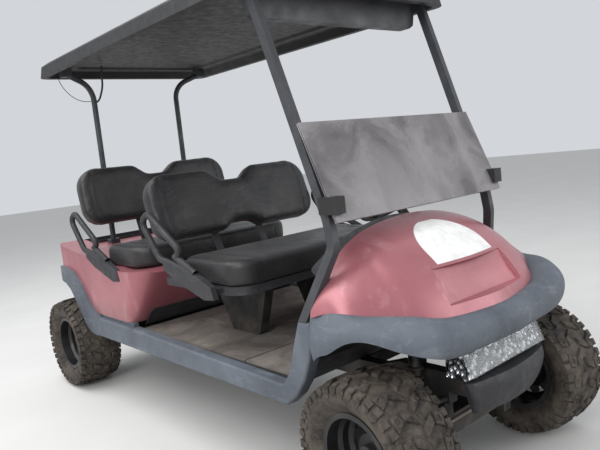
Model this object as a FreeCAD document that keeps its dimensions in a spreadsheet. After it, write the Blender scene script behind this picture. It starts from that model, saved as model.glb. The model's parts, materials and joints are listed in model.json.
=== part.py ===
import FreeCAD, Part
import math
import os

# Lifted four-seat golf cart, in millimetres.
# X points to the vehicle's left, Y to its tail, Z up; the tyres stand on z = 0.

V = FreeCAD.Vector
X_AXIS = V(1, 0, 0)
Z_AXIS = V(0, 0, 1)
ORIGIN = V(0, 0, 0)

doc = FreeCAD.newDocument("GolfCart")
sheet = doc.addObject("Spreadsheet::Sheet", "Sizes")

# Columns: alias, value, what it sets.
SIZES = [
    ("wheelbase", 2558, "axle to axle"),
    ("front_track", 1000, "front tyre centre to centre"),
    ("rear_track", 1052, "rear tyre centre to centre"),
    ("tyre_radius", 281, "over the lugs"),
    ("tyre_width", 260, "over the shoulder lugs"),
    ("bead_radius", 152, "tyre seat on the rim"),
    ("rim_width", 200, "outside of the two flanges"),
    ("rim_lip_radius", 166, "flange radius"),
    ("rim_window_count", 12, "triangular windows in the disc"),
    ("hub_radius", 42, "hub boss"),
    ("kingpin_offset", 375, "kingpin from the centre plane"),
    ("steer_rest", -3.8, "degrees the front wheels stand turned"),
    ("arm_reach", 118, "kingpin to tie rod pin, along the car"),
    ("arm_inset", 22, "kingpin to tie rod pin, across the car"),
    ("rail_x", 190, "frame rail centre from the middle"),
    ("rail_width", 50, "frame rail across"),
    ("rail_height", 72, "frame rail depth"),
    ("rail_top", 460, "top of the rails under the floor"),
    ("floor_top", 478, "top of the floor pan"),
    ("floor_thickness", 16, "floor pan"),
    ("floor_inset", 33.3, "floor pan edge inside the body's side"),
    ("mat_thickness", 7, "rubber floor mat"),
    ("rocker_stand", 19, "rocker panels and flares stand this proud of the body"),
    ("rocker_thickness", 52, "rocker panel across"),
    ("body_half", 580, "outer face of the rear body"),
    ("panel_wall", 6, "moulded body panel"),
    ("rear_overhang", 290.6, "rear axle to the rear bumper's face"),
    ("body_overhang", 270.5, "rear axle to the rear end of the body"),
    ("roof_half", 588, "half width of the roof"),
    ("roof_front", 325, "front axle back to the roof's front edge"),
    ("roof_rear", 57, "rear axle forward to the roof's rear edge"),
    ("roof_rim", 1943, "lower rim at the middle of the roof"),
    ("roof_fascia", 63, "height of the roof's edge band"),
    ("roof_crown", 42, "rise of the roof above its edge band"),
    ("roof_pitch", 0.5, "degrees the roof rises to the rear"),
    ("seat_inset", 50, "cushion ends inside the body's side"),
    ("cushion_height", 112, "cushion"),
    ("battery_length", 386, "battery pack along the car"),
    ("battery_width", 560, "battery pack across the car"),
    ("battery_height", 250, "battery pack"),
    ("back_thickness", 96, "seat back"),
    ("hoop_tube", 32, "hip restraint tube"),
    ("hoop_inset", 9, "hip restraint centre inside the body's side"),
    ("strut_width", 38, "front roof strut along the car"),
    ("strut_depth", 28, "front roof strut across the car"),
    ("rear_strut_tube", 34, "rear roof strut"),
    ("screen_half", 508, "half width of the windshield"),
    ("screen_height", 382, "windshield panel, along its slope"),
    ("screen_lean", 22.5, "degrees the windshield leans back"),
    ("screen_thickness", 5, "windshield panel"),
    ("screen_pitch", 8, "upper panel to lower panel when folded"),
    ("wheel_rim_radius", 170, "steering wheel"),
    ("wheel_rim_tube", 26, "steering wheel rim"),
    ("axle_tube", 70, "rear axle housing"),
    ("gap", 0.3, "seating clearance"),
]
for row, (alias, value, meaning) in enumerate(SIZES, 1):
    sheet.set("A%d" % row, alias)
    sheet.set("B%d" % row, str(value))
    sheet.setAlias("B%d" % row, alias)
    sheet.set("C%d" % row, meaning)
doc.recompute()
size = {alias: float(sheet.get(alias)) for alias, value, meaning in SIZES}

FRONT_AXLE = -size["wheelbase"] / 2
REAR_AXLE = size["wheelbase"] / 2
AXLE_Z = size["tyre_radius"]
KINGPIN_X = size["kingpin_offset"]
# Places below are measured on a 2558 wheelbase: the nose and the tail move with their axles.
NOSE_SHIFT = FRONT_AXLE + 1279
TAIL_SHIFT = REAR_AXLE - 1279
BODY_TAIL = 1279 + size["body_overhang"]
REAR_END = 1279 + size["rear_overhang"]
# Widths below are measured on a 580 half width.
WIDE = size["body_half"] / 580
ROCKER_HALF = size["body_half"] + size["rocker_stand"]
FLOOR_HALF = size["body_half"] - size["floor_inset"]
SEAT_HALF = size["body_half"] - size["seat_inset"]
HOOP_X = size["body_half"] - size["hoop_inset"]
# Inner face of a rim's hub flange, outboard of the tyre's middle.
HUB_FACE = 17


# General shape helpers

def along(y):
    """Place along the car: the nose and the tail keep their form, the floor between them stretches."""
    front, rear = -940, 250
    share = min(max((y - front) / (rear - front), 0), 1)
    return y + NOSE_SHIFT * (1 - share) + TAIL_SHIFT * share


def spread(rows):
    """Rows whose first column is a place along the car."""
    return [(along(row[0]),) + tuple(row[1:]) for row in rows]


def corner_arcs(points, radii, closed):
    """Edges through the points, each corner rounded by its radius."""
    count = len(points)
    entries, exits, middles = [], [], []
    for i, point in enumerate(points):
        radius = radii[i] if isinstance(radii, (list, tuple)) else radii
        inner = closed or 0 < i < count - 1
        if not inner or radius <= 0:
            entries.append(point)
            exits.append(point)
            middles.append(None)
            continue
        back = (points[i - 1] - point).normalize()
        ahead = (points[(i + 1) % count] - point).normalize()
        half = back.getAngle(ahead) / 2
        reach = radius / math.tan(half)
        bisector = (back + ahead).normalize()
        centre = point + bisector * (radius / math.sin(half))
        entries.append(point + back * reach)
        exits.append(point + ahead * reach)
        middles.append(centre - bisector * radius)
    edges = []
    for i in range(count):
        if middles[i] is not None:
            edges.append(Part.Arc(entries[i], middles[i], exits[i]).toShape())
        if i < count - 1 or closed:
            following = entries[(i + 1) % count]
            if exits[i].distanceToPoint(following) > 0.001:
                edges.append(Part.LineSegment(exits[i], following).toShape())
    return Part.Wire(edges)


def outline_yz(points, radii, x):
    return corner_arcs([V(x, y, z) for y, z in points], radii, True)


def outline_xz(points, radii, y):
    return corner_arcs([V(x, y, z) for x, z in points], radii, True)


def outline_xy(points, radii, z):
    return corner_arcs([V(x, y, z) for x, y in points], radii, True)


def slab_yz(points, radii, x_low, x_high):
    return Part.Face(outline_yz(points, radii, x_low)).extrude(V(x_high - x_low, 0, 0))


def slab_xz(points, radii, y_low, y_high):
    return Part.Face(outline_xz(points, radii, y_low)).extrude(V(0, y_high - y_low, 0))


def slab_xy(points, radii, z_low, z_high):
    return Part.Face(outline_xy(points, radii, z_low)).extrude(V(0, 0, z_high - z_low))


def block(x_low, x_high, y_low, y_high, z_low, z_high):
    return Part.makeBox(x_high - x_low, y_high - y_low, z_high - z_low, V(x_low, y_low, z_low))


def rod(start, end, radius):
    return Part.makeCylinder(radius, (end - start).Length, start, end - start)


def tube(points, radii, diameter, closed=False):
    """Round bar along a path with rounded corners."""
    path = corner_arcs(points, radii, closed)
    first = path.Edges[0]
    start = first.valueAt(first.FirstParameter)
    direction = first.tangentAt(first.FirstParameter)
    ring = Part.Wire([Part.Circle(start, direction, diameter / 2).toShape()])
    return path.makePipeShell([ring], True, True)


def bar(points, radii, across, along):
    """Rectangular bar along a path; across is the size along X."""
    path = corner_arcs(points, radii, False)
    first = path.Edges[0]
    start = first.valueAt(first.FirstParameter)
    direction = first.tangentAt(first.FirstParameter)
    side = X_AXIS
    front = direction.cross(side).normalize()
    side = front.cross(direction).normalize()
    corners = [start + side * (sx * across / 2) + front * (sy * along / 2)
               for sx, sy in ((-1, -1), (1, -1), (1, 1), (-1, 1))]
    ring = Part.makePolygon(corners + [corners[0]])
    return path.makePipeShell([ring], True, True)


def mirrored(shape):
    return shape.mirror(ORIGIN, X_AXIS)


def pair(shape):
    """The shape and its twin on the other side of the vehicle, as separate solids."""
    return Part.makeCompound([shape, mirrored(shape)])


def fused(shapes):
    result = shapes[0]
    if len(shapes) > 1:
        result = shapes[0].fuse(shapes[1:])
    return result.removeSplitter()


# Sub-parts are collected here: label to object.
nodes = {}


def keep(label, shape, shift=0):
    """A sub-part whose shape is worked out here from the sheet, moved along the car with its axle."""
    item = doc.addObject("Part::Feature", label)
    item.Label = label
    placed = shape.copy()
    placed.translate(V(0, shift, 0))
    item.Shape = placed
    nodes[label] = item
    return item


def primitive(kind, label, base, rotation, **cells):
    """A parametric primitive whose properties follow expressions on the sheet."""
    item = doc.addObject(kind, label)
    item.Label = label
    item.Placement = FreeCAD.Placement(base, rotation)
    for prop, expression in cells.items():
        item.setExpression(prop, expression)
    return item


def gather(kind, label, prop, members):
    """A sub-part made of parametric members, fused or side by side."""
    item = doc.addObject(kind, label)
    item.Label = label
    setattr(item, prop, members)
    nodes[label] = item
    return item


NO_TURN = FreeCAD.Rotation()


# Wheels

# Outer half of a tyre's section from the bead over the sidewall to the crown: columns are x and radius.
CARCASS = [(74, 152.3), (88, 152.3), (88, 172), (108, 184), (126, 214), (126, 238), (118, 256), (92, 265),
           (30, 269)]
CARCASS_LINER = [(92, 252), (104, 232), (94, 190), (74, 166)]
TREAD_PITCHES = 20
ACROSS = size["tyre_width"] / 260
# Lugs on one half of a pitch, four corners each: columns are x and place along the tread in pitches.
LUGS = [
    [(3, 0.00), (54, 0.30), (54, 0.76), (3, 0.42)],
    [(60, 0.20), (129, -0.14), (129, 0.40), (66, 0.74)],
]
LUG_ROOT = 18


def crown(x):
    """Radius of the tread's top at a distance from its middle."""
    return size["tyre_radius"] - 16 * (max(x - 3, 0) / 127) ** 3


def lug_solid(corners, pitch, side):
    """One tread lug, twelve triangles, rooted in the carcass."""
    rings = []
    for drop in (LUG_ROOT, 0):
        ring = []
        for x, place in corners:
            angle = (pitch + place) * 2 * math.pi / TREAD_PITCHES
            radius = crown(x) - drop
            ring.append(V(side * x * ACROSS, radius * math.cos(angle), radius * math.sin(angle)))
        rings.append(ring)
    low, top = rings
    quads = [(low[0], low[1], low[2], low[3]), (top[3], top[2], top[1], top[0])]
    for k in range(4):
        j = (k + 1) % 4
        quads.append((low[j], low[k], top[k], top[j]))
    faces = []
    for a, b, c, d in quads:
        faces.append(Part.Face(Part.makePolygon([a, b, c, a])))
        faces.append(Part.Face(Part.makePolygon([a, c, d, a])))
    solid = Part.Solid(Part.Shell(faces))
    if solid.Volume < 0:
        solid.reverse()
    return solid


def tyre_shape():
    """Tyre about the X axis at the origin with its lugs; +X is its outer side."""
    points = CARCASS + [(-x, r) for x, r in reversed(CARCASS)]
    points += [(-x, r) for x, r in reversed(CARCASS_LINER)] + CARCASS_LINER
    section = corner_arcs([V(x * ACROSS, 0, r) for x, r in points], 5, True)
    carcass = Part.Face(section).revolve(ORIGIN, X_AXIS, 360)
    lugs = []
    for pitch in range(TREAD_PITCHES):
        for corners in LUGS:
            lugs.append(lug_solid(corners, pitch, 1))
            lugs.append(lug_solid(corners, pitch + 0.5, -1))
    return carcass.fuse(lugs)


def rim_body():
    """Pressed steel wheel about the X axis, revolved, with windows cut in a ring."""
    body = doc.addObject("PartDesign::Body", "RimMaster")
    lip = size["rim_lip_radius"]
    half = size["rim_width"] / 2
    bead = size["bead_radius"]
    wall = 5.0
    drop = bead - 10
    disc_x = 6.0
    plane = [feature for feature in body.Origin.OriginFeatures if feature.Role == "XZ_Plane"][0]
    sketch = body.newObject("Sketcher::SketchObject", "RimProfile")
    sketch.AttachmentSupport = [(plane, "")]
    sketch.MapMode = "FlatFace"
    # Section of the barrel and the disc: columns are x and radius.
    section = [
        (half, lip), (half - wall, lip), (half - wall - 5, bead), (half - 45, bead),
        (half - 62, drop), (-half + 62, drop), (-half + 45, bead), (-half + wall + 5, bead),
        (-half + wall, lip), (-half, lip), (-half, bead - wall), (-half + 50, bead - wall),
        (-half + 66, drop - wall), (disc_x - wall, drop - wall), (disc_x - wall - 12, drop - 16),
        (disc_x - wall - 12, drop - 46), (disc_x - wall + 2, 80), (disc_x - wall + 16, 62),
        (disc_x - wall + 16, 30),
        (disc_x + 16, 30), (disc_x + 16, 66), (disc_x + 2, 84), (disc_x - 12, drop - 42),
        (disc_x - 12, drop - 20), (disc_x + 1, drop - wall), (half - 66, drop - wall),
        (half - 50, bead - wall),
        (half, bead - wall),
    ]
    count = len(section)
    for i in range(count):
        a, b = section[i], section[(i + 1) % count]
        sketch.addGeometry(Part.LineSegment(V(a[0], a[1], 0), V(b[0], b[1], 0)), False)
    doc.recompute()
    revolution = body.newObject("PartDesign::Revolution", "RimSection")
    revolution.Profile = sketch
    revolution.ReferenceAxis = (sketch, ["H_Axis"])
    revolution.Angle = 360
    doc.recompute()
    window = body.newObject("Sketcher::SketchObject", "RimWindow")
    side_plane = [feature for feature in body.Origin.OriginFeatures if feature.Role == "YZ_Plane"][0]
    window.AttachmentSupport = [(side_plane, "")]
    window.MapMode = "FlatFace"
    corners = [(-14, drop - 19), (14, drop - 19), (0, drop - 43)]
    for i in range(3):
        a, b = corners[i], corners[(i + 1) % 3]
        window.addGeometry(Part.LineSegment(V(a[0], a[1], 0), V(b[0], b[1], 0)), False)
    doc.recompute()
    pocket = body.newObject("PartDesign::Pocket", "RimWindowCut")
    pocket.Profile = window
    pocket.Type = 0
    pocket.Midplane = True
    pocket.Length = 120
    doc.recompute()
    ring = body.newObject("PartDesign::PolarPattern", "RimWindowRing")
    ring.Originals = [pocket]
    ring.Axis = (sketch, ["H_Axis"])
    ring.Angle = 360
    ring.setExpression("Occurrences", "Sizes.rim_window_count")
    body.Tip = ring
    doc.recompute()
    return body


tyre = tyre_shape()
rim_master = rim_body()
hub_cap = rod(V(HUB_FACE + 4, 0, 0), V(HUB_FACE + 32, 0, 0), 34)
rim = fused([rim_master.Shape.copy(), hub_cap])

# Wheels: columns are place, side (+1 left), axle y, track and whether it steers.
WHEELS = [
    ("front_left", 1, FRONT_AXLE, "front_track", True),
    ("front_right", -1, FRONT_AXLE, "front_track", True),
    ("rear_left", 1, REAR_AXLE, "rear_track", False),
    ("rear_right", -1, REAR_AXLE, "rear_track", False),
]
for place, side, axle_y, track, steers in WHEELS:
    for name, master in (("tyre", tyre), ("rim", rim)):
        shape = master.copy()
        if side < 0:
            shape.rotate(ORIGIN, Z_AXIS, 180)
        shape.translate(V(side * size[track] / 2, axle_y, AXLE_Z))
        if steers:
            shape.rotate(V(side * KINGPIN_X, axle_y, 0), Z_AXIS, size["steer_rest"])
        keep("%s_%s" % (name, place), shape)


# Front knuckles, tie rod and front suspension

ARM_HEIGHT = AXLE_Z + 62


def knuckle_shape(side):
    """Upright, spindle and steering arm of one front wheel, pointing ahead before it is turned."""
    pin_x = side * KINGPIN_X
    hub_x = side * (size["front_track"] / 2 + HUB_FACE - size["gap"])
    upright = Part.makeCylinder(17, 150, V(pin_x, FRONT_AXLE, AXLE_Z - 70))
    boss = rod(V(pin_x - side * 5, FRONT_AXLE, AXLE_Z), V(pin_x + side * 40, FRONT_AXLE, AXLE_Z), 34)
    spindle = rod(V(pin_x, FRONT_AXLE, AXLE_Z), V(hub_x - side * 20, FRONT_AXLE, AXLE_Z), 18)
    hub = rod(V(hub_x - side * 50, FRONT_AXLE, AXLE_Z), V(hub_x, FRONT_AXLE, AXLE_Z), size["hub_radius"])
    tip = V(pin_x - side * size["arm_inset"], FRONT_AXLE - size["arm_reach"], ARM_HEIGHT)
    arm = bar([V(pin_x, FRONT_AXLE, ARM_HEIGHT), tip], 0, 26, 14)
    eye = Part.makeCylinder(16, 14, V(tip.x, tip.y, tip.z - 7))
    return fused([upright, boss, spindle, hub, arm, eye])


def pin_place(side):
    """Tie rod pin of one knuckle, with the wheels turned as they stand."""
    pivot = V(side * KINGPIN_X, FRONT_AXLE, ARM_HEIGHT)
    pin = pivot + V(-side * size["arm_inset"], -size["arm_reach"], 0)
    turn = FreeCAD.Rotation(Z_AXIS, size["steer_rest"])
    return pivot + turn.multVec(pin - pivot)


for side, place in ((1, "left"), (-1, "right")):
    shape = knuckle_shape(side)
    shape.rotate(V(side * KINGPIN_X, FRONT_AXLE, 0), Z_AXIS, size["steer_rest"])
    keep("knuckle_" + place, shape)

rod_drop = V(0, 0, -20)
left_pin, right_pin = pin_place(1), pin_place(-1)
tie_bar = rod(left_pin + rod_drop, right_pin + rod_drop, 8)
ends = [Part.makeCylinder(14, 21 - size["gap"], pin + V(0, 0, -28)) for pin in (left_pin, right_pin)]
keep("tie_rod", fused([tie_bar] + ends))

FRONT_RAIL_LOW = 418
FRONT_RAIL_TOP = 490
SADDLE_X = 290
# The tie rod passes in front of the suspension's posts at full lock.
TIE_ROOM = 78
SADDLE_TOP = AXLE_Z - 66
arms = []
for side in (1, -1):
    ball = V(side * KINGPIN_X, FRONT_AXLE, AXLE_Z - 88)
    for reach in (-70, 110):
        mount = V(side * (size["rail_x"] - 5), FRONT_AXLE + reach, AXLE_Z - 62)
        arms.append(rod(mount, ball, 13))
    arms.append(Part.makeCylinder(20, 28 - size["gap"], ball + V(0, 0, -10)))
    arms.append(block(side * SADDLE_X - 24, side * SADDLE_X + 24, FRONT_AXLE - 42, FRONT_AXLE + 52,
                      SADDLE_TOP - 14, SADDLE_TOP))
    upper = V(side * KINGPIN_X, FRONT_AXLE, AXLE_Z + 92)
    for reach in (-85, 85):
        mount = V(side * (size["rail_x"] + 20), FRONT_AXLE + reach, AXLE_Z + 108)
        arms.append(rod(mount, upper, 10))
    arms.append(Part.makeCylinder(18, 24, V(upper.x, upper.y, AXLE_Z + 80 + size["gap"])))
    rail_middle = side * size["rail_x"]
    arms.append(block(rail_middle - 24, rail_middle + 24, FRONT_AXLE - TIE_ROOM, FRONT_AXLE + 125,
                      AXLE_Z - 84, FRONT_RAIL_LOW - size["gap"]))
    arms.append(block(rail_middle - 24, rail_middle + 24, FRONT_AXLE - 100, FRONT_AXLE,
                      AXLE_Z + 90, FRONT_RAIL_LOW - size["gap"]))
cross = block(-size["rail_x"], size["rail_x"], FRONT_AXLE - 60, FRONT_AXLE + 60, AXLE_Z - 60, AXLE_Z + 20)
keep("front_suspension", fused(arms + [cross]))

# Steering places, from the hand wheel down to the rack.
wheel_centre = V(270, -780 + NOSE_SHIFT, 1080)
column_axis = V(0, 0.627, 0.779)
column_low = wheel_centre - column_axis * 668
rack_y = -1342 + NOSE_SHIFT
pinion_top = V(120, rack_y, 512)
shaft_hole = rod(column_low, pinion_top, 20)

COIL_COUNT = 7
COIL_PITCH = 34


def damper_body(foot, head):
    """Coil-over strut turned about its own line: the lower tube, the coils as ridges and the rod."""
    length = (head - foot).Length
    profile = [(0, 0), (20, 0), (20, 70)]
    for turn in range(COIL_COUNT):
        low = 78 + turn * COIL_PITCH
        profile += [(20, low), (29, low + 5), (29, low + 11), (20, low + 16)]
    profile += [(14, 78 + COIL_COUNT * COIL_PITCH), (14, length), (0, length)]
    outline = Part.makePolygon([V(r, 0, z) for r, z in profile + profile[:1]])
    body = Part.Face(outline).revolve(ORIGIN, Z_AXIS, 360)
    body.Placement = FreeCAD.Placement(foot, FreeCAD.Rotation(Z_AXIS, head - foot))
    return body


dampers = []
for side in (1, -1):
    foot = V(side * SADDLE_X, FRONT_AXLE, SADDLE_TOP + 2 + size["gap"])
    head = V(side * 255, FRONT_AXLE, AXLE_Z + 330)
    bush = rod(head - V(0, 24, 0), head + V(0, 24, 0), 21)
    tower_low, tower_high = sorted((side * 165, side * 262))
    tower = block(tower_low, tower_high, FRONT_AXLE + 26, FRONT_AXLE + 34, FRONT_RAIL_TOP + size["gap"],
                  head.z + 30)
    tower = tower.cut(shaft_hole)
    pin = rod(head, head + V(0, 34, 0), 8)
    dampers.append(fused([damper_body(foot, head), bush, pin, tower]))
keep("front_dampers", Part.makeCompound(dampers))


# Frame, floor and rocker panels

rail_low = size["rail_top"] - size["rail_height"]
rail_end = REAR_END + TAIL_SHIFT - 40 - size["gap"]
BUMPER_BACK = -1472
# Side view of a rail: columns are y and z.
rail_side = spread([(BUMPER_BACK, FRONT_RAIL_LOW), (BUMPER_BACK, FRONT_RAIL_TOP), (-1150, FRONT_RAIL_TOP),
                    (-1060, size["rail_top"])])
rail_side += [(rail_end, size["rail_top"]),
              (rail_end, rail_low)] + spread([(-1040, rail_low), (-1130, FRONT_RAIL_LOW)])
rails = []
for side in (1, -1):
    inner = side * size["rail_x"] - size["rail_width"] / 2
    rails.append(slab_yz(rail_side, [0, 0, 20, 20, 0, 0, 20, 20], inner, inner + size["rail_width"]))
# Cross members between the rails: columns are y and low z.
for y, low in spread([(-1440, 430), (-900, rail_low + 8), (150, rail_low + 8), (1400, rail_low + 8)]):
    rails.append(block(-size["rail_x"], size["rail_x"], y - 25, y + 25, low, low + 50))
# Outriggers that carry the floor.
for y, low in spread([(-700, rail_low + 20), (-60, rail_low + 20), (640, rail_low + 20)]):
    rails.append(block(20 - FLOOR_HALF, FLOOR_HALF - 20, y - 20, y + 20, low, size["rail_top"]))
keep("frame_rails", fused(rails))

floor_low = size["floor_top"] - size["floor_thickness"]
# Side view of the floor pan and toe board: columns are y and z.
floor_side = spread([(880, floor_low), (880, size["floor_top"]), (-940, size["floor_top"]), (-1060, 590),
                     (-1150, 800), (-1162, 796), (-1074, 580), (-948, floor_low)])
column_hole = rod(wheel_centre - column_axis * 400, wheel_centre - column_axis * 640, 26)
floor_pan = slab_yz(floor_side, 0, -FLOOR_HALF, FLOOR_HALF).cut(column_hole)
keep("floor_pan", floor_pan)

mat_half = FLOOR_HALF - 16
mat_top = size["floor_top"] + size["mat_thickness"]
mat_ends = [y for y, z in spread([(-930, 0), (370, 0)])]
# Mats either side of the seam: columns are front y and rear y.
mats = []
for low, high in ((mat_ends[0], -585), (-575, mat_ends[1])):
    mats.append(block(-mat_half, mat_half, low, high, size["floor_top"], mat_top))
keep("floor_mats", Part.makeCompound(mats))

SILL_TOP = 522
# Side view of a rocker panel with its upswept front end: columns are y and z.
rocker_side = spread([(-925, 394), (-990, 445), (-1042, 512), (-1078, 590), (-1100.7, 660), (-1100.7, 735),
                      (-1040, 735),
                      (-1000, 640), (-965, 545), (-915, 472), (300, 500), (800, 504), (830, 392),
                      (300, 392)])
rocker_radii = [14, 60, 80, 60, 20, 0, 10, 60, 60, 40, 0, 0, 0, 0]
rocker_inner = ROCKER_HALF - size["rocker_thickness"]
rocker = slab_yz(rocker_side, rocker_radii, rocker_inner, ROCKER_HALF)
rocker = rocker.makeFillet(10, [edge for edge in rocker.Edges
                                if edge.BoundBox.XMin > ROCKER_HALF - 1 and edge.Length > 200])
# Recessed strip that the rear body stands on.
sill = block(rocker_inner, size["body_half"] - 8, 375 + TAIL_SHIFT, 800 + TAIL_SHIFT, 480,
             SILL_TOP - size["gap"])
keep("rocker_panels", pair(fused([rocker, sill])))


# Nose: the fender moulding and the cowl are lofted through stations that share the seam between them

# Stations from the side, at the fender's rear end, to the middle of the nose. Each point is x, y, z.
# Columns: seam, fender's bulge, fender's lower edge, cowl's middle, cowl's top.
STATIONS = [
    ((588, -1101, 752), (602, -1101, 690), (594, -1101, 598), (552, -1140, 900), (492, -1168, 1040)),
    ((574, -1168, 772), (602, -1172, 712), (598, -1172, 634), (534, -1186, 915), (476, -1176, 1044)),
    ((560, -1250, 778), (601, -1262, 735), (599, -1262, 684), (512, -1238, 922), (458, -1182, 1047)),
    ((505, -1306, 762), (580, -1352, 745), (585, -1366, 704), (466, -1282, 925), (424, -1187, 1050)),
    ((445, -1345, 745), (530, -1432, 726), (536, -1440, 674), (410, -1320, 918), (378, -1191, 1053)),
    ((392, -1385, 733), (462, -1490, 706), (466, -1482, 642), (352, -1348, 908), (326, -1195, 1056)),
    ((333, -1422, 721), (372, -1524, 690), (376, -1502, 612), (290, -1372, 896), (268, -1199, 1058)),
    ((210, -1455, 712), (222, -1541, 676), (222, -1510, 598), (180, -1396, 884), (164, -1206, 1061)),
    ((0, -1482, 709), (0, -1552, 670), (0, -1514, 594), (0, -1412, 876), (0, -1212, 1064)),
]
FENDER_FLANGE = 15


def circle_centre(a, b, c):
    """Centre of the circle through three points."""
    u, v = b - a, c - a
    n = u.cross(v)
    return a + (n.cross(u) * v.dot(v) + v.cross(n) * u.dot(u)) * (0.5 / n.dot(n))


def shrunk(points, centre, amount):
    """The points moved towards the centre."""
    return [p + (centre - p).normalize() * amount for p in points]


def arc_through(a, b, c):
    return Part.Arc(a, b, c).toShape()


def fender_section(seam, bulge, lower):
    """Closed section of the fender: outer curve, lower edge, inner curve and the flange under the cowl."""
    centre = circle_centre(seam, bulge, lower)
    seam_in, bulge_in, lower_in = shrunk([seam, bulge, lower], centre, size["panel_wall"])
    inward = (centre - bulge).normalize() * FENDER_FLANGE
    edges = [
        arc_through(seam, bulge, lower),
        Part.LineSegment(lower, lower_in).toShape(),
        arc_through(lower_in, bulge_in, seam_in),
        Part.LineSegment(seam_in, seam_in + inward).toShape(),
        Part.LineSegment(seam_in + inward, seam + inward).toShape(),
        Part.LineSegment(seam + inward, seam).toShape(),
    ]
    return Part.Wire(edges)


def cowl_section(seam, middle, top, inset, wall):
    """Closed section of the cowl's skin, its outer face set in by inset."""
    centre = circle_centre(seam, middle, top)
    low, mid, high = shrunk([seam, middle, top], centre, inset)
    low_in, mid_in, high_in = shrunk([seam, middle, top], centre, inset + wall)
    edges = [
        arc_through(low, mid, high),
        Part.LineSegment(high, high_in).toShape(),
        arc_through(high_in, mid_in, low_in),
        Part.LineSegment(low_in, low).toShape(),
    ]
    return Part.Wire(edges)


def nose_point(values, side):
    x, y, z = values
    return V(side * x * WIDE, y, z)


def nose_loft(section, rows):
    """Loft through stations of both halves, from the right side round the front to the left."""
    wires = [section([nose_point(p, -1) for p in row]) for row in rows]
    wires += [section([nose_point(p, 1) for p in row]) for row in reversed(rows[:-1])]
    return Part.makeLoft(wires, True, False)


SEAT_LIFT = V(0, 0, size["gap"])
fender = nose_loft(lambda p: fender_section(p[0], p[1], p[2]), STATIONS)
keep("front_fender", fender, NOSE_SHIFT)

cowl_skin = nose_loft(lambda p: cowl_section(p[0] + SEAT_LIFT, p[3], p[4], 0, size["panel_wall"]), STATIONS)
# Body of the nose's middle, down to below the step's back wall.
cowl_core = nose_loft(lambda p: cowl_section(p[0] + SEAT_LIFT, p[3], p[4], 3, 110), STATIONS[-3:])

# Step in the cowl's face, seen from the side: columns are y, z and how far its wall grows in y and z.
STEP = [(-1376, 856, 1, 1), (-1400, 792, 1, 0), (-1430, 750, 1, -1), (-1474, 742, 0, -1),
        (-1600, 742, 0, -1), (-1600, 856, 0, 1)]
STEP_HALF = 243 * WIDE
STEP_FLARE = 14


def step_prism(grow):
    """Space of the step, or the same grown by a wall all round; its sides open towards the front."""
    points = [(y + grow * dy, z + grow * dz) for y, z, dy, dz in STEP]
    prism = slab_yz(points, 0, -STEP_HALF - grow - 40, STEP_HALF + grow + 40)
    side_wall = block(0, 200, -1800, -1200, 600, 1000)
    side_wall.rotate(V(0, -1500, 800), Z_AXIS, STEP_FLARE)
    side_wall.translate(V(STEP_HALF + grow, 0, 0))
    return prism.cut(side_wall).cut(mirrored(side_wall))


step_backing = step_prism(size["panel_wall"]).cut(step_prism(0)).common(cowl_core)
cowl = fused([cowl_skin.cut(step_prism(0)), step_backing])
cowl.translate(V(0, NOSE_SHIFT, 0))


# Dash, light bar and bumpers

# Side view of the dash: columns are y and z.
dash_side = [(-1171.7, 1000), (-1171.7, 1046), (-1150, 1052), (-1060, 1052), (-1025, 1030), (-1020, 960),
             (-1060, 880),
             (-1100, 790), (-1145.4, 790), (-1149.6, 800)]
DASH_HALF = 455 * WIDE
dash = slab_yz(dash_side, [0, 0, 0, 25, 20, 40, 40, 0, 0, 0], -DASH_HALF, DASH_HALF)
# Open pockets either side of the column: columns are the low and high x.
for low, high in ((-400, -60), (-20, 170)):
    dash = dash.cut(slab_yz([(-1000, 1008), (-1078, 1008), (-1078, 940), (-1000, 940)], [0, 14, 14, 0], low,
                            high))
keep("dash_panel", dash, NOSE_SHIFT)

# Plan of the front bumper by height: columns are z, half width, corner y and front y.
BUMPER = [(362, 212, -1484, -1524), (400, 228, -1496, -1541), (450, 246, -1500, -1545),
          (482, 250, -1492, -1532)]


def bumper_wire(z, half, corner_y, front):
    """Plan outline: straight back and sides, rounded corners and a bowed front."""
    left, right = V(-half, corner_y + 10, z), V(half, corner_y + 10, z)
    left_front, right_front = V(-half + 24, corner_y - 10, z), V(half - 24, corner_y - 10, z)
    left_back, right_back = V(-half, BUMPER_BACK, z), V(half, BUMPER_BACK, z)
    edges = [
        Part.LineSegment(left_back, left).toShape(),
        Part.Arc(left, V(-half + 6, corner_y - 2, z), left_front).toShape(),
        Part.Arc(left_front, V(0, front, z), right_front).toShape(),
        Part.Arc(right_front, V(half - 6, corner_y - 2, z), right).toShape(),
        Part.LineSegment(right, right_back).toShape(),
        Part.LineSegment(right_back, left_back).toShape(),
    ]
    return Part.Wire(edges)


front_bumper = Part.makeLoft([bumper_wire(*row) for row in BUMPER], True, False)
front_bumper = front_bumper.cut(block(-150, 150, -1500, -1460, 380, 464))
front_bumper.translate(V(0, NOSE_SHIFT, 0))
rear_bumper = slab_xz([(-300, 384), (300, 384), (320, 470), (-320, 470)], 20, REAR_END - 40, REAR_END)
rear_bumper = rear_bumper.makeFillet(8,
                                     [edge for edge in rear_bumper.Edges if edge.BoundBox.YMin > REAR_END - 1])
rear_bumper.translate(V(0, TAIL_SHIFT, 0))
keep("bumpers", Part.makeCompound([front_bumper, rear_bumper]))

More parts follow.
